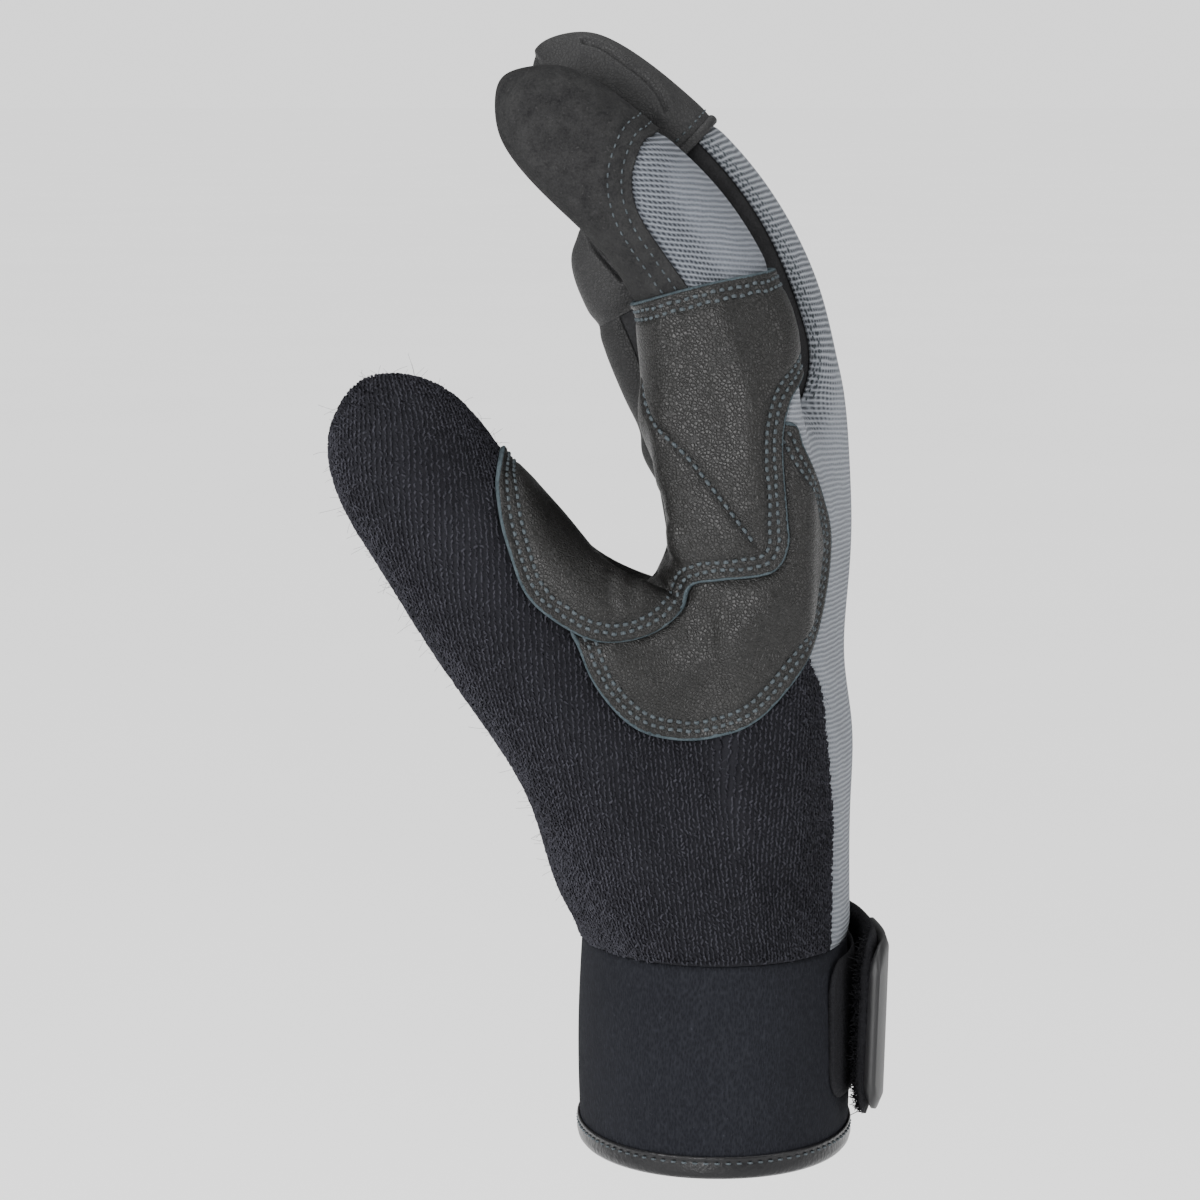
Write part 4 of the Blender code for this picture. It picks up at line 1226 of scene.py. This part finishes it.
def tubes(lines, radius, sides=3):
    """Thin tubes along many short lines at once: lines is count by steps by 3."""
    count, steps = lines.shape[:2]
    run = unit(np.gradient(lines, axis=1))
    side = unit(np.cross(run, np.array([0.31, 0.87, 0.38])))
    up = np.cross(side, run)
    rings = [lines + (side * math.cos(turn) + up * math.sin(turn)) * radius
             for turn in np.linspace(0, 2 * math.pi, sides, endpoint=False)]
    points = np.stack(rings, axis=2).reshape(-1, 3)
    first = (np.arange(count)[:, None, None] * steps + np.arange(steps - 1)[None, :, None]) * sides
    here, after = np.arange(sides), (np.arange(sides) + 1) % sides
    quads = [first + here, first + after, first + after + sides, first + here + sides]
    return points, np.stack(quads, axis=-1).reshape(-1, 4)


def yarn_loops(cloth, wale, seams, seed):
    spots = scattered(cloth, wale, 6 * LOOP_LIMIT, seed)
    steep = np.maximum((spots.across ** 2).sum(axis=1), 0.04)
    offset = np.round(spots.values / WALE_PITCH) * WALE_PITCH - spots.values
    near_side = spots.normals[:, 1] < 0.2
    points = spots.points + spots.across * (offset / steep * 0.8 * near_side)[:, None]
    clear = away_from(points, seams) > 0.0007
    points, normals, across = points[clear], spots.normals[clear], unit(spots.across[clear])
    kept = thinned(points, LOOP_SPACING)[:LOOP_LIMIT]
    points, normals, across = points[kept], normals[kept], across[kept]
    random = np.random.default_rng(seed + 1)
    along = unit(np.cross(normals, across))
    turn = random.normal(0, 0.35, len(points))[:, None]
    along, across = (along * np.cos(turn) + across * np.sin(turn),
                     across * np.cos(turn) - along * np.sin(turn))
    lean = random.normal(0, 0.30, (len(points), 2))
    size = random.uniform(0.75, 1.25, len(points))[:, None, None]
    reach_along = np.array([-0.5, -0.3, 0.3, 0.5])[None, :, None] * LOOP_LENGTH
    rise = np.array([-0.5, 0.9, 0.9, -0.5])[None, :, None] * LOOP_RISE
    sway = np.maximum(rise, 0) * lean[:, None, :1]
    tip = np.maximum(rise, 0) * lean[:, None, 1:]
    lines = points[:, None] + size * (along[:, None] * (reach_along + tip) + normals[:, None] * rise
                                      + across[:, None] * sway)
    order = np.argsort(points[:, 2])
    return lines[order], random.random(len(points))


# %% Terry pieces
def terry_piece(name, node, seed):
    cloth = panel(node, 3)
    far_from_partner = np.abs(inner_thumb_rule(cloth)) > 0.0002
    seams = border_paths(cloth, far_from_partner)
    edge = away_from(cloth.points, seams)
    points, faces = wall(cloth, dip(edge, 0.0004, 0.0015), WALL)
    add_mesh(name, points, faces, "terry", TERRY_GROUND_SHADED, [node], {"tone": np.zeros(len(points))})
    wale = wale_marks(cloth)
    high = [path for path in seams if path.points[:, 2].max() > SEAM_HEIGHT + 0.002]
    lines, tone = yarn_loops(cloth, wale, high, seed)
    for part in range(0, len(lines), LOOPS_IN_PIECE):
        shape, faces = tubes(lines[part:part + LOOPS_IN_PIECE], YARN)
        tones = np.repeat(tone[part:part + LOOPS_IN_PIECE], 12)
        add_mesh(name + "_loops_" + str(part // LOOPS_IN_PIECE), shape, faces, "terry", TERRY_LOOP,
                 marks={"tone": tones})
    print(name + ":", len(lines), "loops")
    return cloth


outer_terry = terry_piece("terry_outside", "terry_panel", 11)
inner_terry = terry_piece("terry_inside", "thumb_inside", 23)

# %% Loose fibres
FIBRE_COUNT = 420


def loose_fibres(cloth, count, seed):
    """Fine curved hairs that stand off the loops."""
    spots = scattered(cloth, cloth.points[:, 2], count, seed)
    random = np.random.default_rng(seed)
    length = random.uniform(0.0012, 0.0034, count)[:, None]
    way = unit(spots.normals + random.normal(0, 0.45, (count, 3)))
    bend = random.normal(0, 0.5, (count, 3))
    lines = [spots.points + length * (way * share + bend * share ** 2 * 0.6)
             for share in (0.1, 0.4, 0.7, 1.0)]
    return tubes(np.stack(lines, axis=1), 0.000032)


for name, cloth, seed in (("outer_fibres", outer_terry, 5), ("inner_fibres", inner_terry, 6)):
    shape, faces = loose_fibres(cloth, FIBRE_COUNT, seed)
    add_mesh(name, shape, faces, "terry", TERRY_LOOP, marks={"tone": np.ones(len(shape))})

# %% [markdown]
# The knit covers the back of the hand and three fingers as one piece. Its ribs run across the
# hand, so they are numbered by the distance along each limb.

# %% Knit panels and side strips
RIB_SLOPE, FINGER_TURN, ROOT_LENGTH = 0.10, 0.5, 0.02


def rib_height(cloth):
    """Which rib a point lies on: its height, and partly the distance along its finger."""
    along = cloth.marks[:, 1:4].max(axis=1)
    turned = FINGER_TURN * smoothstep(along / ROOT_LENGTH)
    height = cloth.points[:, 2] + RIB_SLOPE * cloth.points[:, 0]
    return height + turned * (along + WEB_HEIGHT - height)


def cloth_panel(name, node, level, slot, material, height=0.0, seam=0.0007, ladder=None):
    """A cloth panel that dips at its seams; returns the cloth and its outer surface's tree."""
    cloth = panel(node, level)
    edge = away_from(cloth.points, border_paths(cloth))
    points, faces = wall(cloth, height + dip(edge, seam, 0.0018), WALL)
    marks = {"along": rib_height(cloth), "around": cloth.marks[:, AROUND],
             "ladder": np.full(len(cloth.points), 0.2)}
    if ladder:
        near = (ladder(cloth) < 0.00012) & (cloth.points[:, 1] < finger_middle(1))
        line = border_paths(cloth, near)[:1]
        past_ladder = away_from(cloth.points, line) - LADDER_WIDTH
        marks["ladder"] = 1.0 - 0.8 * smoothstep(past_ladder / 0.004)
    add_mesh(name, points, faces, slot, material, [node],
             {mark: np.append(values, values) for mark, values in marks.items()})
    print(name + ":", len(faces), "triangles")
    return cloth, surface_tree(points[:len(cloth.points)], cloth.faces)


LADDER_WIDTH = 0.0055
knit_cloth, knit_tree = cloth_panel("knit_back", "back_knit", 3, "knit", KNIT, 0.0003,
                                    ladder=lambda cloth: np.abs(strip_rule(cloth, 0)))
cloth_panel("knit_window", "index_window", 4, "knit", WINDOW_KNIT, 0.0002, 0.0005,
            ladder=lambda cloth: np.abs(inside_outline(cloth, WINDOW_OUTLINE)))
cloth_panel("palm_hide", "palm_leather", 3, "palm_leather", PALM_HIDE)
for finger in ("index", "middle", "ring"):
    cloth_panel("side_strip_" + finger, "fourchette_" + finger, 3, "suede", SUEDE, -0.0002)

# %% Seam rows on the knit
def sew(name, rows, tree, slot, material=THREAD, kind=FINE_STITCH):
    """Stitches along some lines, laid on a finished surface."""
    threads = [stitched(laid(row, tree), kind) for row in rows]
    add_mesh(name, *joined(threads), slot, material)
    print(name + ":", len(rows), "rows")


KNIT_STITCH = Stitch(0.0019, 0.0012, 0.00034, 0.00026)
near = knit_cloth.points[:, 1] < finger_middle(1)
seam = border_paths(knit_cloth, on_line(strip_rule(knit_cloth, 0)) & near)[:1]
rows = rows_inside(knit_cloth, seam, (0.0011, 0.0023))
sew("knit_stitches", rows, knit_tree, "knit", kind=KNIT_STITCH)

# %% Nubuck index finger
NUBUCK_ROWS = (0.0022, 0.0050)
cap_cloth = panel("index_cap", 4)
near = cap_cloth.points[:, 1] < finger_middle(INDEX)
window_seam = border_paths(cap_cloth, on_line(window_rule(cap_cloth)) & near)[:1]
rows = rows_inside(cap_cloth, window_seam, NUBUCK_ROWS)
rows = [row for row in rows if row.points[:, 1].mean() < finger_middle(INDEX)]
edge = away_from(cap_cloth.points, border_paths(cap_cloth))
height = 0.0006 + dip(edge, 0.0005, 0.0016)
height += sum(dip(away_from(cap_cloth.points, [row]), 0.00025, 0.0005) for row in rows)
height += 0.0005 * np.exp(-(away_from(cap_cloth.points, window_seam) / 0.0012) ** 2)
points, faces = wall(cap_cloth, height, WALL)
add_mesh("nubuck_cap", points, faces, "nubuck", NUBUCK, ["index_cap"])
cap_tree = surface_tree(points[:len(cap_cloth.points)], cap_cloth.faces)
sew("nubuck_stitches", rows, cap_tree, "nubuck")


# %% [markdown]
# The leather caps of the other fingers end in a hem that is folded back and sewn, so on the
# back of the hand the edge is thick and stands away from the knit.

# %% Finger caps with their hems
CAP_LIFT = 0.0008
HEM = round_profile(0.0022, 0.0016, 10)
CAP_SEAM = ((-0.624, 1.675), (-0.545, 1.665), (-0.452, 1.640), (-0.358, 1.612), (-0.287, 1.582),
            (-0.255, 1.555))
LITTLE_SEAM = ((-0.655, 1.365), (-0.59, 1.305), (-0.52, 1.27), (-0.44, 1.235))


def finger_cap(number, level=3, seams=(), hem_from=-0.35):
    name = FINGERS[number].name
    cloth = panel(name + "_cap", level)
    backward = cloth.marks[:, SIDE] > hem_from
    hems = border_paths(cloth, on_line(beyond(cloth, number, CAP_START)) & backward)[:1]
    edge = away_from(cloth.points, hems)
    tree = surface_tree(cloth.points, cloth.faces)
    lines = [drawn(seam, tree) for seam in seams]
    lift = CAP_LIFT * smoothstep((cloth.marks[:, SIDE] - hem_from + 0.3) / 0.4)
    seamed = away_from(cloth.points, border_paths(cloth, ~backward))
    height = lift + 0.0003 * smoothstep(edge / 0.004) + dip(seamed, 0.0010, 0.0025)
    for line in lines:
        beside_line = away_from(cloth.points, [line])
        height = height + dip(beside_line, 0.0014, 0.0007) - dip(beside_line, 0.0011, 0.0026)
    points, faces = wall(cloth, height, WALL)
    add_mesh(name + "_leather_cap", points, faces, "grain_leather", CAP_HIDE, [name + "_cap"])
    roll = [sweep(Path(path.points + path.normals * CAP_LIFT, path.normals, path.closed), HEM, 4)
            for path in hems]
    add_mesh(name + "_cap_hem", *joined(roll), "grain_leather", CAP_HIDE)
    tree = surface_tree(points[:len(cloth.points)], cloth.faces)
    sew(name + "_cap_stitches", rows_inside(cloth, hems, (0.0026,)), tree, "grain_leather")


finger_cap(1, 4, (CAP_SEAM,))
finger_cap(2, hem_from=0.2)
finger_cap(3, 4, (LITTLE_SEAM,), 0.3)


# %% [markdown]
# The two patches on the thumb's side are the glove's show pieces. Each is a thick hide laid
# over the cloth and held by two rows of stitches, with its cut edge bare. The upper patch lies
# over the lower one, so the lower one sinks beside it.

# %% Leather patches with raw edges and double stitching
RAW_WIDTH = 0.0009
ROWS = (0.0017, 0.0035)
GROOVE_DEPTH, GROOVE_WIDTH = 0.00060, 0.0007
PATCH_STITCH = Stitch(0.0019, 0.0015, 0.00085, 0.00060)

# Where the hide stands up in soft folds or is creased, drawn in side view: line, height, width
OVERLAY_FOLDS = (
    (((-0.24, 1.20), (-0.225, 1.084), (-0.24, 0.974), (-0.225, 0.863)), 0.0012, 0.0038),
    (((-0.024, 1.22), (0.023, 1.158), (0.10, 1.084), (0.147, 0.955), (0.165, 0.86)), 0.0012, 0.0034),
    (((-0.93, 0.87), (-0.85, 0.79), (-0.735, 0.73), (-0.552, 0.67), (-0.40, 0.675)), 0.0013, 0.0040),
    (((-0.497, 0.745), (-0.529, 0.701), (-0.497, 0.661)), -0.0008, 0.0010),
    (((-0.415, 0.735), (-0.424, 0.683)), -0.0009, 0.0009),
    (((-0.345, 0.756), (-0.30, 0.728), (-0.24, 0.70)), -0.0008, 0.0010),
    (((-0.322, 0.802), (-0.253, 0.774), (-0.185, 0.756)), -0.0007, 0.0010),
    (((-0.36, 0.83), (-0.27, 0.835), (-0.18, 0.82)), -0.0005, 0.0012),
)
CRESCENT_FOLDS = (
    (((-0.50, 0.585), (-0.37, 0.545), (-0.186, 0.552), (0.043, 0.611), (0.20, 0.684)),
     0.0014, 0.0045),
)


def grooves(cloth, rows):
    """Where the thread pulls the hide down: the sum of one groove along each row."""
    return sum(dip(away_from(cloth.points, [row]), GROOVE_DEPTH, GROOVE_WIDTH) for row in rows)


def folded(cloth, folds):
    """The summed height of folds and creases over a cloth."""
    tree = surface_tree(cloth.points, cloth.faces)
    return sum(-dip(away_from(cloth.points, [drawn(line, tree)]), height, width)
               for line, height, width in folds)


def patch(name, cloth, raw, relief, pillow, extra=0.0):
    """A hide over the skin, its bare cut edge and its two rows of stitches."""
    rows = rows_inside(cloth, raw, ROWS)
    edge = away_from(cloth.points, raw)
    height = rolled(edge + 0.0003, relief, 0.0007) + grooves(cloth, rows) + extra
    height += pillow * smoothstep((edge - ROWS[-1]) / 0.006)
    points, faces = wall(cloth, height, WALL - relief)
    add_mesh(name, points, faces, "grain_leather", LEATHER, [name.replace("_hide", "")])
    tree = surface_tree(points[:len(cloth.points)], cloth.faces)
    rims = [sweep(Path(path.points + path.normals * relief * 0.5, path.normals, path.closed),
                  round_profile(RAW_WIDTH, relief), 3) for path in raw]
    add_mesh(name + "_raw_edge", *joined(rims), "grain_leather", RAW_EDGE)
    sew(name + "_stitches", rows, tree, "grain_leather", kind=PATCH_STITCH)
    print(name + ":", len(faces), "triangles,", len(raw), "raw edges")
    return tree


# %% Overlay and crescent
# A stretch of the overlay's outline that gets no bare edge, as shares of the hand's depth
# (its middle and half its width) and length (its lower end)
COVERED_MIDDLE, COVERED_HALF, COVERED_FROM = -0.4, 0.2, 0.85
overlay_cloth = panel("index_overlay", 4)
corner = (COVERED_MIDDLE * HAND_DEPTH, 0, SEAM_HEIGHT + COVERED_FROM * HAND_LENGTH)
across, _, rise = (overlay_cloth.points - corner).T
wrapped = (np.abs(across) < COVERED_HALF * HAND_DEPTH) & (rise > 0)
bare = on_line(inside_outline(overlay_cloth, OVERLAY_OUTLINE)) & ~wrapped
overlay_raw = [path for path in border_paths(overlay_cloth, bare | on_line(past_hem(overlay_cloth)))
               if len(path.points) > SHORTEST_ROW]
dart = drawn(DART, surface_tree(overlay_cloth.points, overlay_cloth.faces))
beside_dart = away_from(overlay_cloth.points, [dart])
overlay_tree = patch("index_overlay_hide", overlay_cloth, overlay_raw, 0.0015, 0.0004,
                     dip(beside_dart, 0.0009, 0.0008) + folded(overlay_cloth, OVERLAY_FOLDS))
sew("dart_stitches", [beside(dart, -0.0010, overlay_tree)], overlay_tree, "grain_leather",
    kind=Stitch(0.0021, 0.0018, 0.00085, 0.00060))
crescent_cloth = panel("crescent_patch", 4)
bare = on_line(inside_outline(crescent_cloth, CRESCENT_OUTLINE))
crescent_raw = border_paths(crescent_cloth, bare)
under = away_from(crescent_cloth.points, overlay_raw)
patch("crescent_patch_hide", crescent_cloth, crescent_raw, 0.0009, 0.0001,
      dip(under, 0.0008, 0.0016) + folded(crescent_cloth, CRESCENT_FOLDS))


# %% [markdown]
# The cuff is a stretch tube. A turned profile would do, but an oval isn't turned: the same
# oval rule that gave the skin its first ring gives the cuff's rings too, so they meet.

# %% Cuff tube
CUFF_WALL = 0.0026
CUFF_STEPS = 192


def cuff_point_rings(profile, steps=CUFF_STEPS):
    """Rings round the cuff: each profile row is how far out and how high."""
    angles = np.linspace(0, 360, steps, endpoint=False)
    return np.array([oval(np.array([0.0, 0.0, height]), 0.0, CUFF_DEPTH / 2 + out,
                          CUFF_WIDTH / 2 + out, angles, CUFF_SQUARE) for out, height in profile])


def closed_rings(rings):
    """A closed tube whose rings follow each other round its section."""
    return rings.reshape(-1, 3), ring_faces(*rings.shape[:2])


def cuff_bulge(height):
    """The stretch cloth swells a little between its two seams."""
    share = (height - cuff_low[2]) / (cuff_high[2] - cuff_low[2])
    return 0.0007 * math.sin(math.pi * share) - 0.0004 * share


levels = np.linspace(cuff_low[2], cuff_high[2] + 0.0004, 40)
profile = [(cuff_bulge(height), height) for height in levels]
profile += [(-CUFF_WALL, height) for height in levels[::-4]]
add_mesh("stretch_cuff", *closed_rings(cuff_point_rings(profile)), "stretch", STRETCH, ["cuff"])

# %% Binding round the cuff's mouth
BINDING_SKIN = 0.0005
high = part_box("cuff_binding")[1][2]
profile = [(-CUFF_WALL - BINDING_SKIN, 0.3 * high), (-CUFF_WALL, 0.0), (0.0, 0.0),
           (BINDING_SKIN, 0.0006), (BINDING_SKIN + GAP, 0.35 * high), (BINDING_SKIN, 0.72 * high),
           (BINDING_SKIN, 0.80 * high), (BINDING_SKIN + GAP, 0.90 * high), (0.0006, high),
           (0.0, high - 0.0003), (0.0, 0.001), (-CUFF_WALL, 0.001), (-CUFF_WALL, high),
           (-CUFF_WALL - BINDING_SKIN, high)]
add_mesh("mouth_binding", *closed_rings(cuff_point_rings(profile)), "binding", BINDING,
         ["cuff_binding"])
ring = cuff_point_rings([(BINDING_SKIN + 0.0001, 0.70 * high)], 480)[0]
outward = unit(ring * (1 / CUFF_DEPTH ** 2, 1 / CUFF_WIDTH ** 2, 0))
notches = stitched(evened(ring, outward, True, 0.0006, 1), Stitch(0.0024, 0.0014, 0.0005, 0.0004))
add_mesh("binding_stitches", *notches, "binding", THREAD)

# %% Strap, its pile and the tab
STRAP_SPAN, TAB_SPAN, LOOP_SPAN = (-27, 84), (-29, 16), (-38, 28)
strap_low, strap_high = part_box("closure_strap")
STRAP_MIDDLE = (strap_low[2] + strap_high[2]) / 2
STRAP_HEIGHT, TAB_HEIGHT, LOOP_HEIGHT, STRAP_TILT = 0.041, 0.037, 0.031, 0.0012
BAND_STEPS, BAND_LEVELS = 64, 17
LOOP_THICKNESS, STRAP_THICKNESS, STRAP_LIFT, TAB_THICKNESS = 0.0012, 0.0022, 0.0020, 0.0024


def strap_out(angle):
    """How far the strap's inner face stands from the cuff at an angle round it."""
    over_patch = GAP + LOOP_THICKNESS + GAP
    lift = STRAP_LIFT * smoothstep((10 - angle) / (10 - STRAP_SPAN[0]))
    down = smoothstep((angle - LOOP_SPAN[1] - 4) / (STRAP_SPAN[1] - LOOP_SPAN[1] - 10))
    return over_patch + lift - down * (over_patch - 2 * GAP)


def tab_out(angle):
    """The tab lies on the strap, and keeps the strap's last distance past its end."""
    return strap_out(max(angle, STRAP_SPAN[0])) + STRAP_THICKNESS + GAP


def band(span, height, thickness, out, corner, tilt=0.0, steps=BAND_STEPS, levels=BAND_LEVELS):
    """A strip round the cuff with round corners, whose upper edge leans out towards its free end."""
    angles = np.linspace(*span, steps)
    spots = np.array([oval(np.zeros(3), 0.0, CUFF_DEPTH / 2 + out(angle),
                           CUFF_WIDTH / 2 + out(angle), [angle], CUFF_SQUARE)[0]
                      for angle in angles])
    run = run_lengths(spots)
    outward = unit(np.stack([np.gradient(spots[:, 1]), -np.gradient(spots[:, 0]),
                             np.zeros(steps)], axis=1))
    ends = np.minimum(run, run[-1] - run)
    missing = corner - np.sqrt(np.maximum(corner ** 2 - np.maximum(corner - ends, 0) ** 2, 0))
    half = height / 2 - missing
    rows = np.linspace(-1, 1, levels)
    outer, inner = [], []
    for spot, face, size, angle in zip(spots, outward, half, angles):
        free = tilt * smoothstep((50 - angle) / 70)
        for row in rows:
            spot = spot + face * free / levels
            edge = min((1 - abs(row)) * size, 0.001) / 0.001
            rise = np.array([0, 0, STRAP_MIDDLE + row * size])
            round_off = 0.35 * thickness * (1 - math.sqrt(1 - (1 - edge) ** 2))
            outer.append(spot + rise + face * (thickness - round_off))
            inner.append(spot + rise + face * round_off)
    points = np.vstack([outer, inner])
    count = steps * levels
    faces = []
    for step in range(steps - 1):
        for level in range(levels - 1):
            a, b = step * levels + level, (step + 1) * levels + level
            faces.append((a, b, b + 1, a + 1))
            faces.append((a + count, a + 1 + count, b + 1 + count, b + count))
    rim = [step * levels for step in range(steps)]
    rim += [(steps - 1) * levels + level for level in range(1, levels)]
    rim += [step * levels + levels - 1 for step in range(steps - 2, -1, -1)]
    rim += range(levels - 2, 0, -1)
    for here, after in zip(rim, rim[1:] + rim[:1]):
        faces.append((after, here, here + count, after + count))
    return points, faces


add_mesh("pile_patch", *band(LOOP_SPAN, LOOP_HEIGHT, LOOP_THICKNESS, lambda angle: GAP, 0.006),
         "hook", PILE, ["loop_patch"])
strap_points, strap_faces = band(STRAP_SPAN, STRAP_HEIGHT, STRAP_THICKNESS, strap_out, 0.006,
                                 STRAP_TILT)
add_mesh("strap_band", strap_points, strap_faces, "hook", PILE, ["closure_strap"])
add_mesh("moulded_tab", *band(TAB_SPAN, TAB_HEIGHT, TAB_THICKNESS, tab_out, 0.005, STRAP_TILT),
         "rubber", RUBBER, ["strap_tab"])

# %% Hooks under the strap's free end
HOOK_ROWS, HOOK_COUNT = 14, 1500


def between(grid, steps, levels):
    """Points of a grid between its rows and columns."""
    row, column = steps.astype(int), levels.astype(int)
    share, rise = (steps - row)[:, None], (levels - column)[:, None]
    low = grid[row, column] * (1 - share) + grid[row + 1, column] * share
    high = grid[row, column + 1] * (1 - share) + grid[row + 1, column + 1] * share
    return low * (1 - rise) + high * rise


random = np.random.default_rng(31)
outer, inner = strap_points.reshape(2, BAND_STEPS, BAND_LEVELS, 3)[:, :HOOK_ROWS]
step = np.minimum(random.exponential(2.5, HOOK_COUNT), HOOK_ROWS - 1.01)
level = random.uniform(0, BAND_LEVELS - 1.01, HOOK_COUNT)
roots, tops = between(inner, step, level), between(outer, step, level)
down = unit(roots - tops)
lean = random.normal(0, 0.5, (HOOK_COUNT, 3)) + (0, -0.5, 0)
hook_length = random.uniform(0.0007, 0.0014, HOOK_COUNT)[:, None]
hook_lines = np.stack([roots - down * 0.0002, roots + hook_length * (down + lean * 0.4) * 0.6,
                       roots + hook_length * (down * 0.8 + lean)], axis=1)
shape, faces = tubes(hook_lines, 0.00010)
add_mesh("strap_hooks", shape, faces, "hook", PILE)
print("strap:", HOOK_COUNT, "hooks")


# %% [markdown]
# The stage is a wide pale floor well below the glove, lit by three soft lamps, a broad light
# from above and a pale surround, as in a catalogue. The camera stands nine tenths of a metre
# away, a little above, and looks at the glove's thumb side.

# %% Camera
CAMERA_DISTANCE = 0.900
CAMERA_ELEVATION = math.radians(7.5)
CAMERA_TARGET = (-0.02540, 0.0, 0.11981)
PHOTO_WIDTH = 1200
FOCAL_PIXELS = 4090.9
lens = bpy.data.cameras.new("camera")
lens.sensor_width = 36.0
lens.lens = lens.sensor_width * FOCAL_PIXELS / PHOTO_WIDTH
camera = bpy.data.objects.new("camera", lens)
bpy.context.collection.objects.link(camera)
camera.location = (CAMERA_TARGET[0],
                   CAMERA_TARGET[1] - CAMERA_DISTANCE * math.cos(CAMERA_ELEVATION),
                   CAMERA_TARGET[2] + CAMERA_DISTANCE * math.sin(CAMERA_ELEVATION))
camera.rotation_euler = (math.pi / 2 - CAMERA_ELEVATION, 0.0, 0.0)
bpy.context.scene.camera = camera

# %% Lamps and surround
LAMP_AIM = (0, 0, 0.12)


def soft_lamp(name, place, size, power):
    light = bpy.data.lights.new(name, "AREA")
    light.shape = "RECTANGLE"
    light.size, light.size_y = size
    light.energy = power
    lamp = bpy.data.objects.new(name, light)
    bpy.context.collection.objects.link(lamp)
    lamp.location = place
    way = Vector(LAMP_AIM) - Vector(place)
    lamp.rotation_euler = way.to_track_quat("-Z", "Y").to_euler()


soft_lamp("left_lamp", (-1.00, -0.80, 0.45), (0.25, 0.8), 22.0)
soft_lamp("front_lamp", (-0.35, -1.25, 0.20), (0.20, 0.6), 18.0)
soft_lamp("right_lamp", (1.00, -0.45, 0.45), (0.35, 0.9), 9.0)
sky = bpy.data.lights.new("sky_panel", "SUN")
sky.energy = 4.4
sky.angle = math.radians(70)
sky_lamp = bpy.data.objects.new("sky_panel", sky)
bpy.context.collection.objects.link(sky_lamp)
world = bpy.data.worlds.new("surround")
world.use_nodes = True
nodes, links = world.node_tree.nodes, world.node_tree.links
dim, pale = nodes["Background"], nodes.new("ShaderNodeBackground")
dim.inputs["Strength"].default_value = 0.35
pale.inputs["Strength"].default_value = 1.52
for light in (dim, pale):
    light.inputs["Color"].default_value = (1.0, 1.0, 1.0, 1.0)
either = nodes.new("ShaderNodeMixShader")
links.new(nodes.new("ShaderNodeLightPath").outputs["Is Camera Ray"], either.inputs[0])
links.new(dim.outputs[0], either.inputs[1])
links.new(pale.outputs[0], either.inputs[2])
links.new(either.outputs[0], nodes["World Output"].inputs["Surface"])
bpy.context.scene.world = world

# %% Floor
FLOOR_HEIGHT, FLOOR_REACH = -0.22, 40
corners = [(x * FLOOR_REACH, y * FLOOR_REACH, FLOOR_HEIGHT)
           for x, y in ((-1, -1), (1, -1), (1, 1), (-1, 1))]
floor_mesh = bpy.data.meshes.new("floor")
floor_mesh.from_pydata(corners, [], [(0, 1, 2, 3)])
floor = bpy.data.objects.new("floor", floor_mesh)
bpy.context.collection.objects.link(floor)
paint = Finish("pale_floor", Roughness=0.9)
pale_tones = paint.ramp(paint.noise(3.0), (0.3, (0.88, 0.88, 0.88)), (0.7, (0.90, 0.90, 0.90)))
paint.wire(pale_tones, "Base Color")
floor_mesh.materials.append(paint.material)

# %% Sizes for the record
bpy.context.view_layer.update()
counts = {piece.name: sum(len(face.vertices) - 2 for face in piece.data.polygons)
          for piece in bpy.data.objects if piece.type == "MESH"}
print("triangles:", sum(counts.values()), "in all, at most", max(counts.values()), "in a piece")
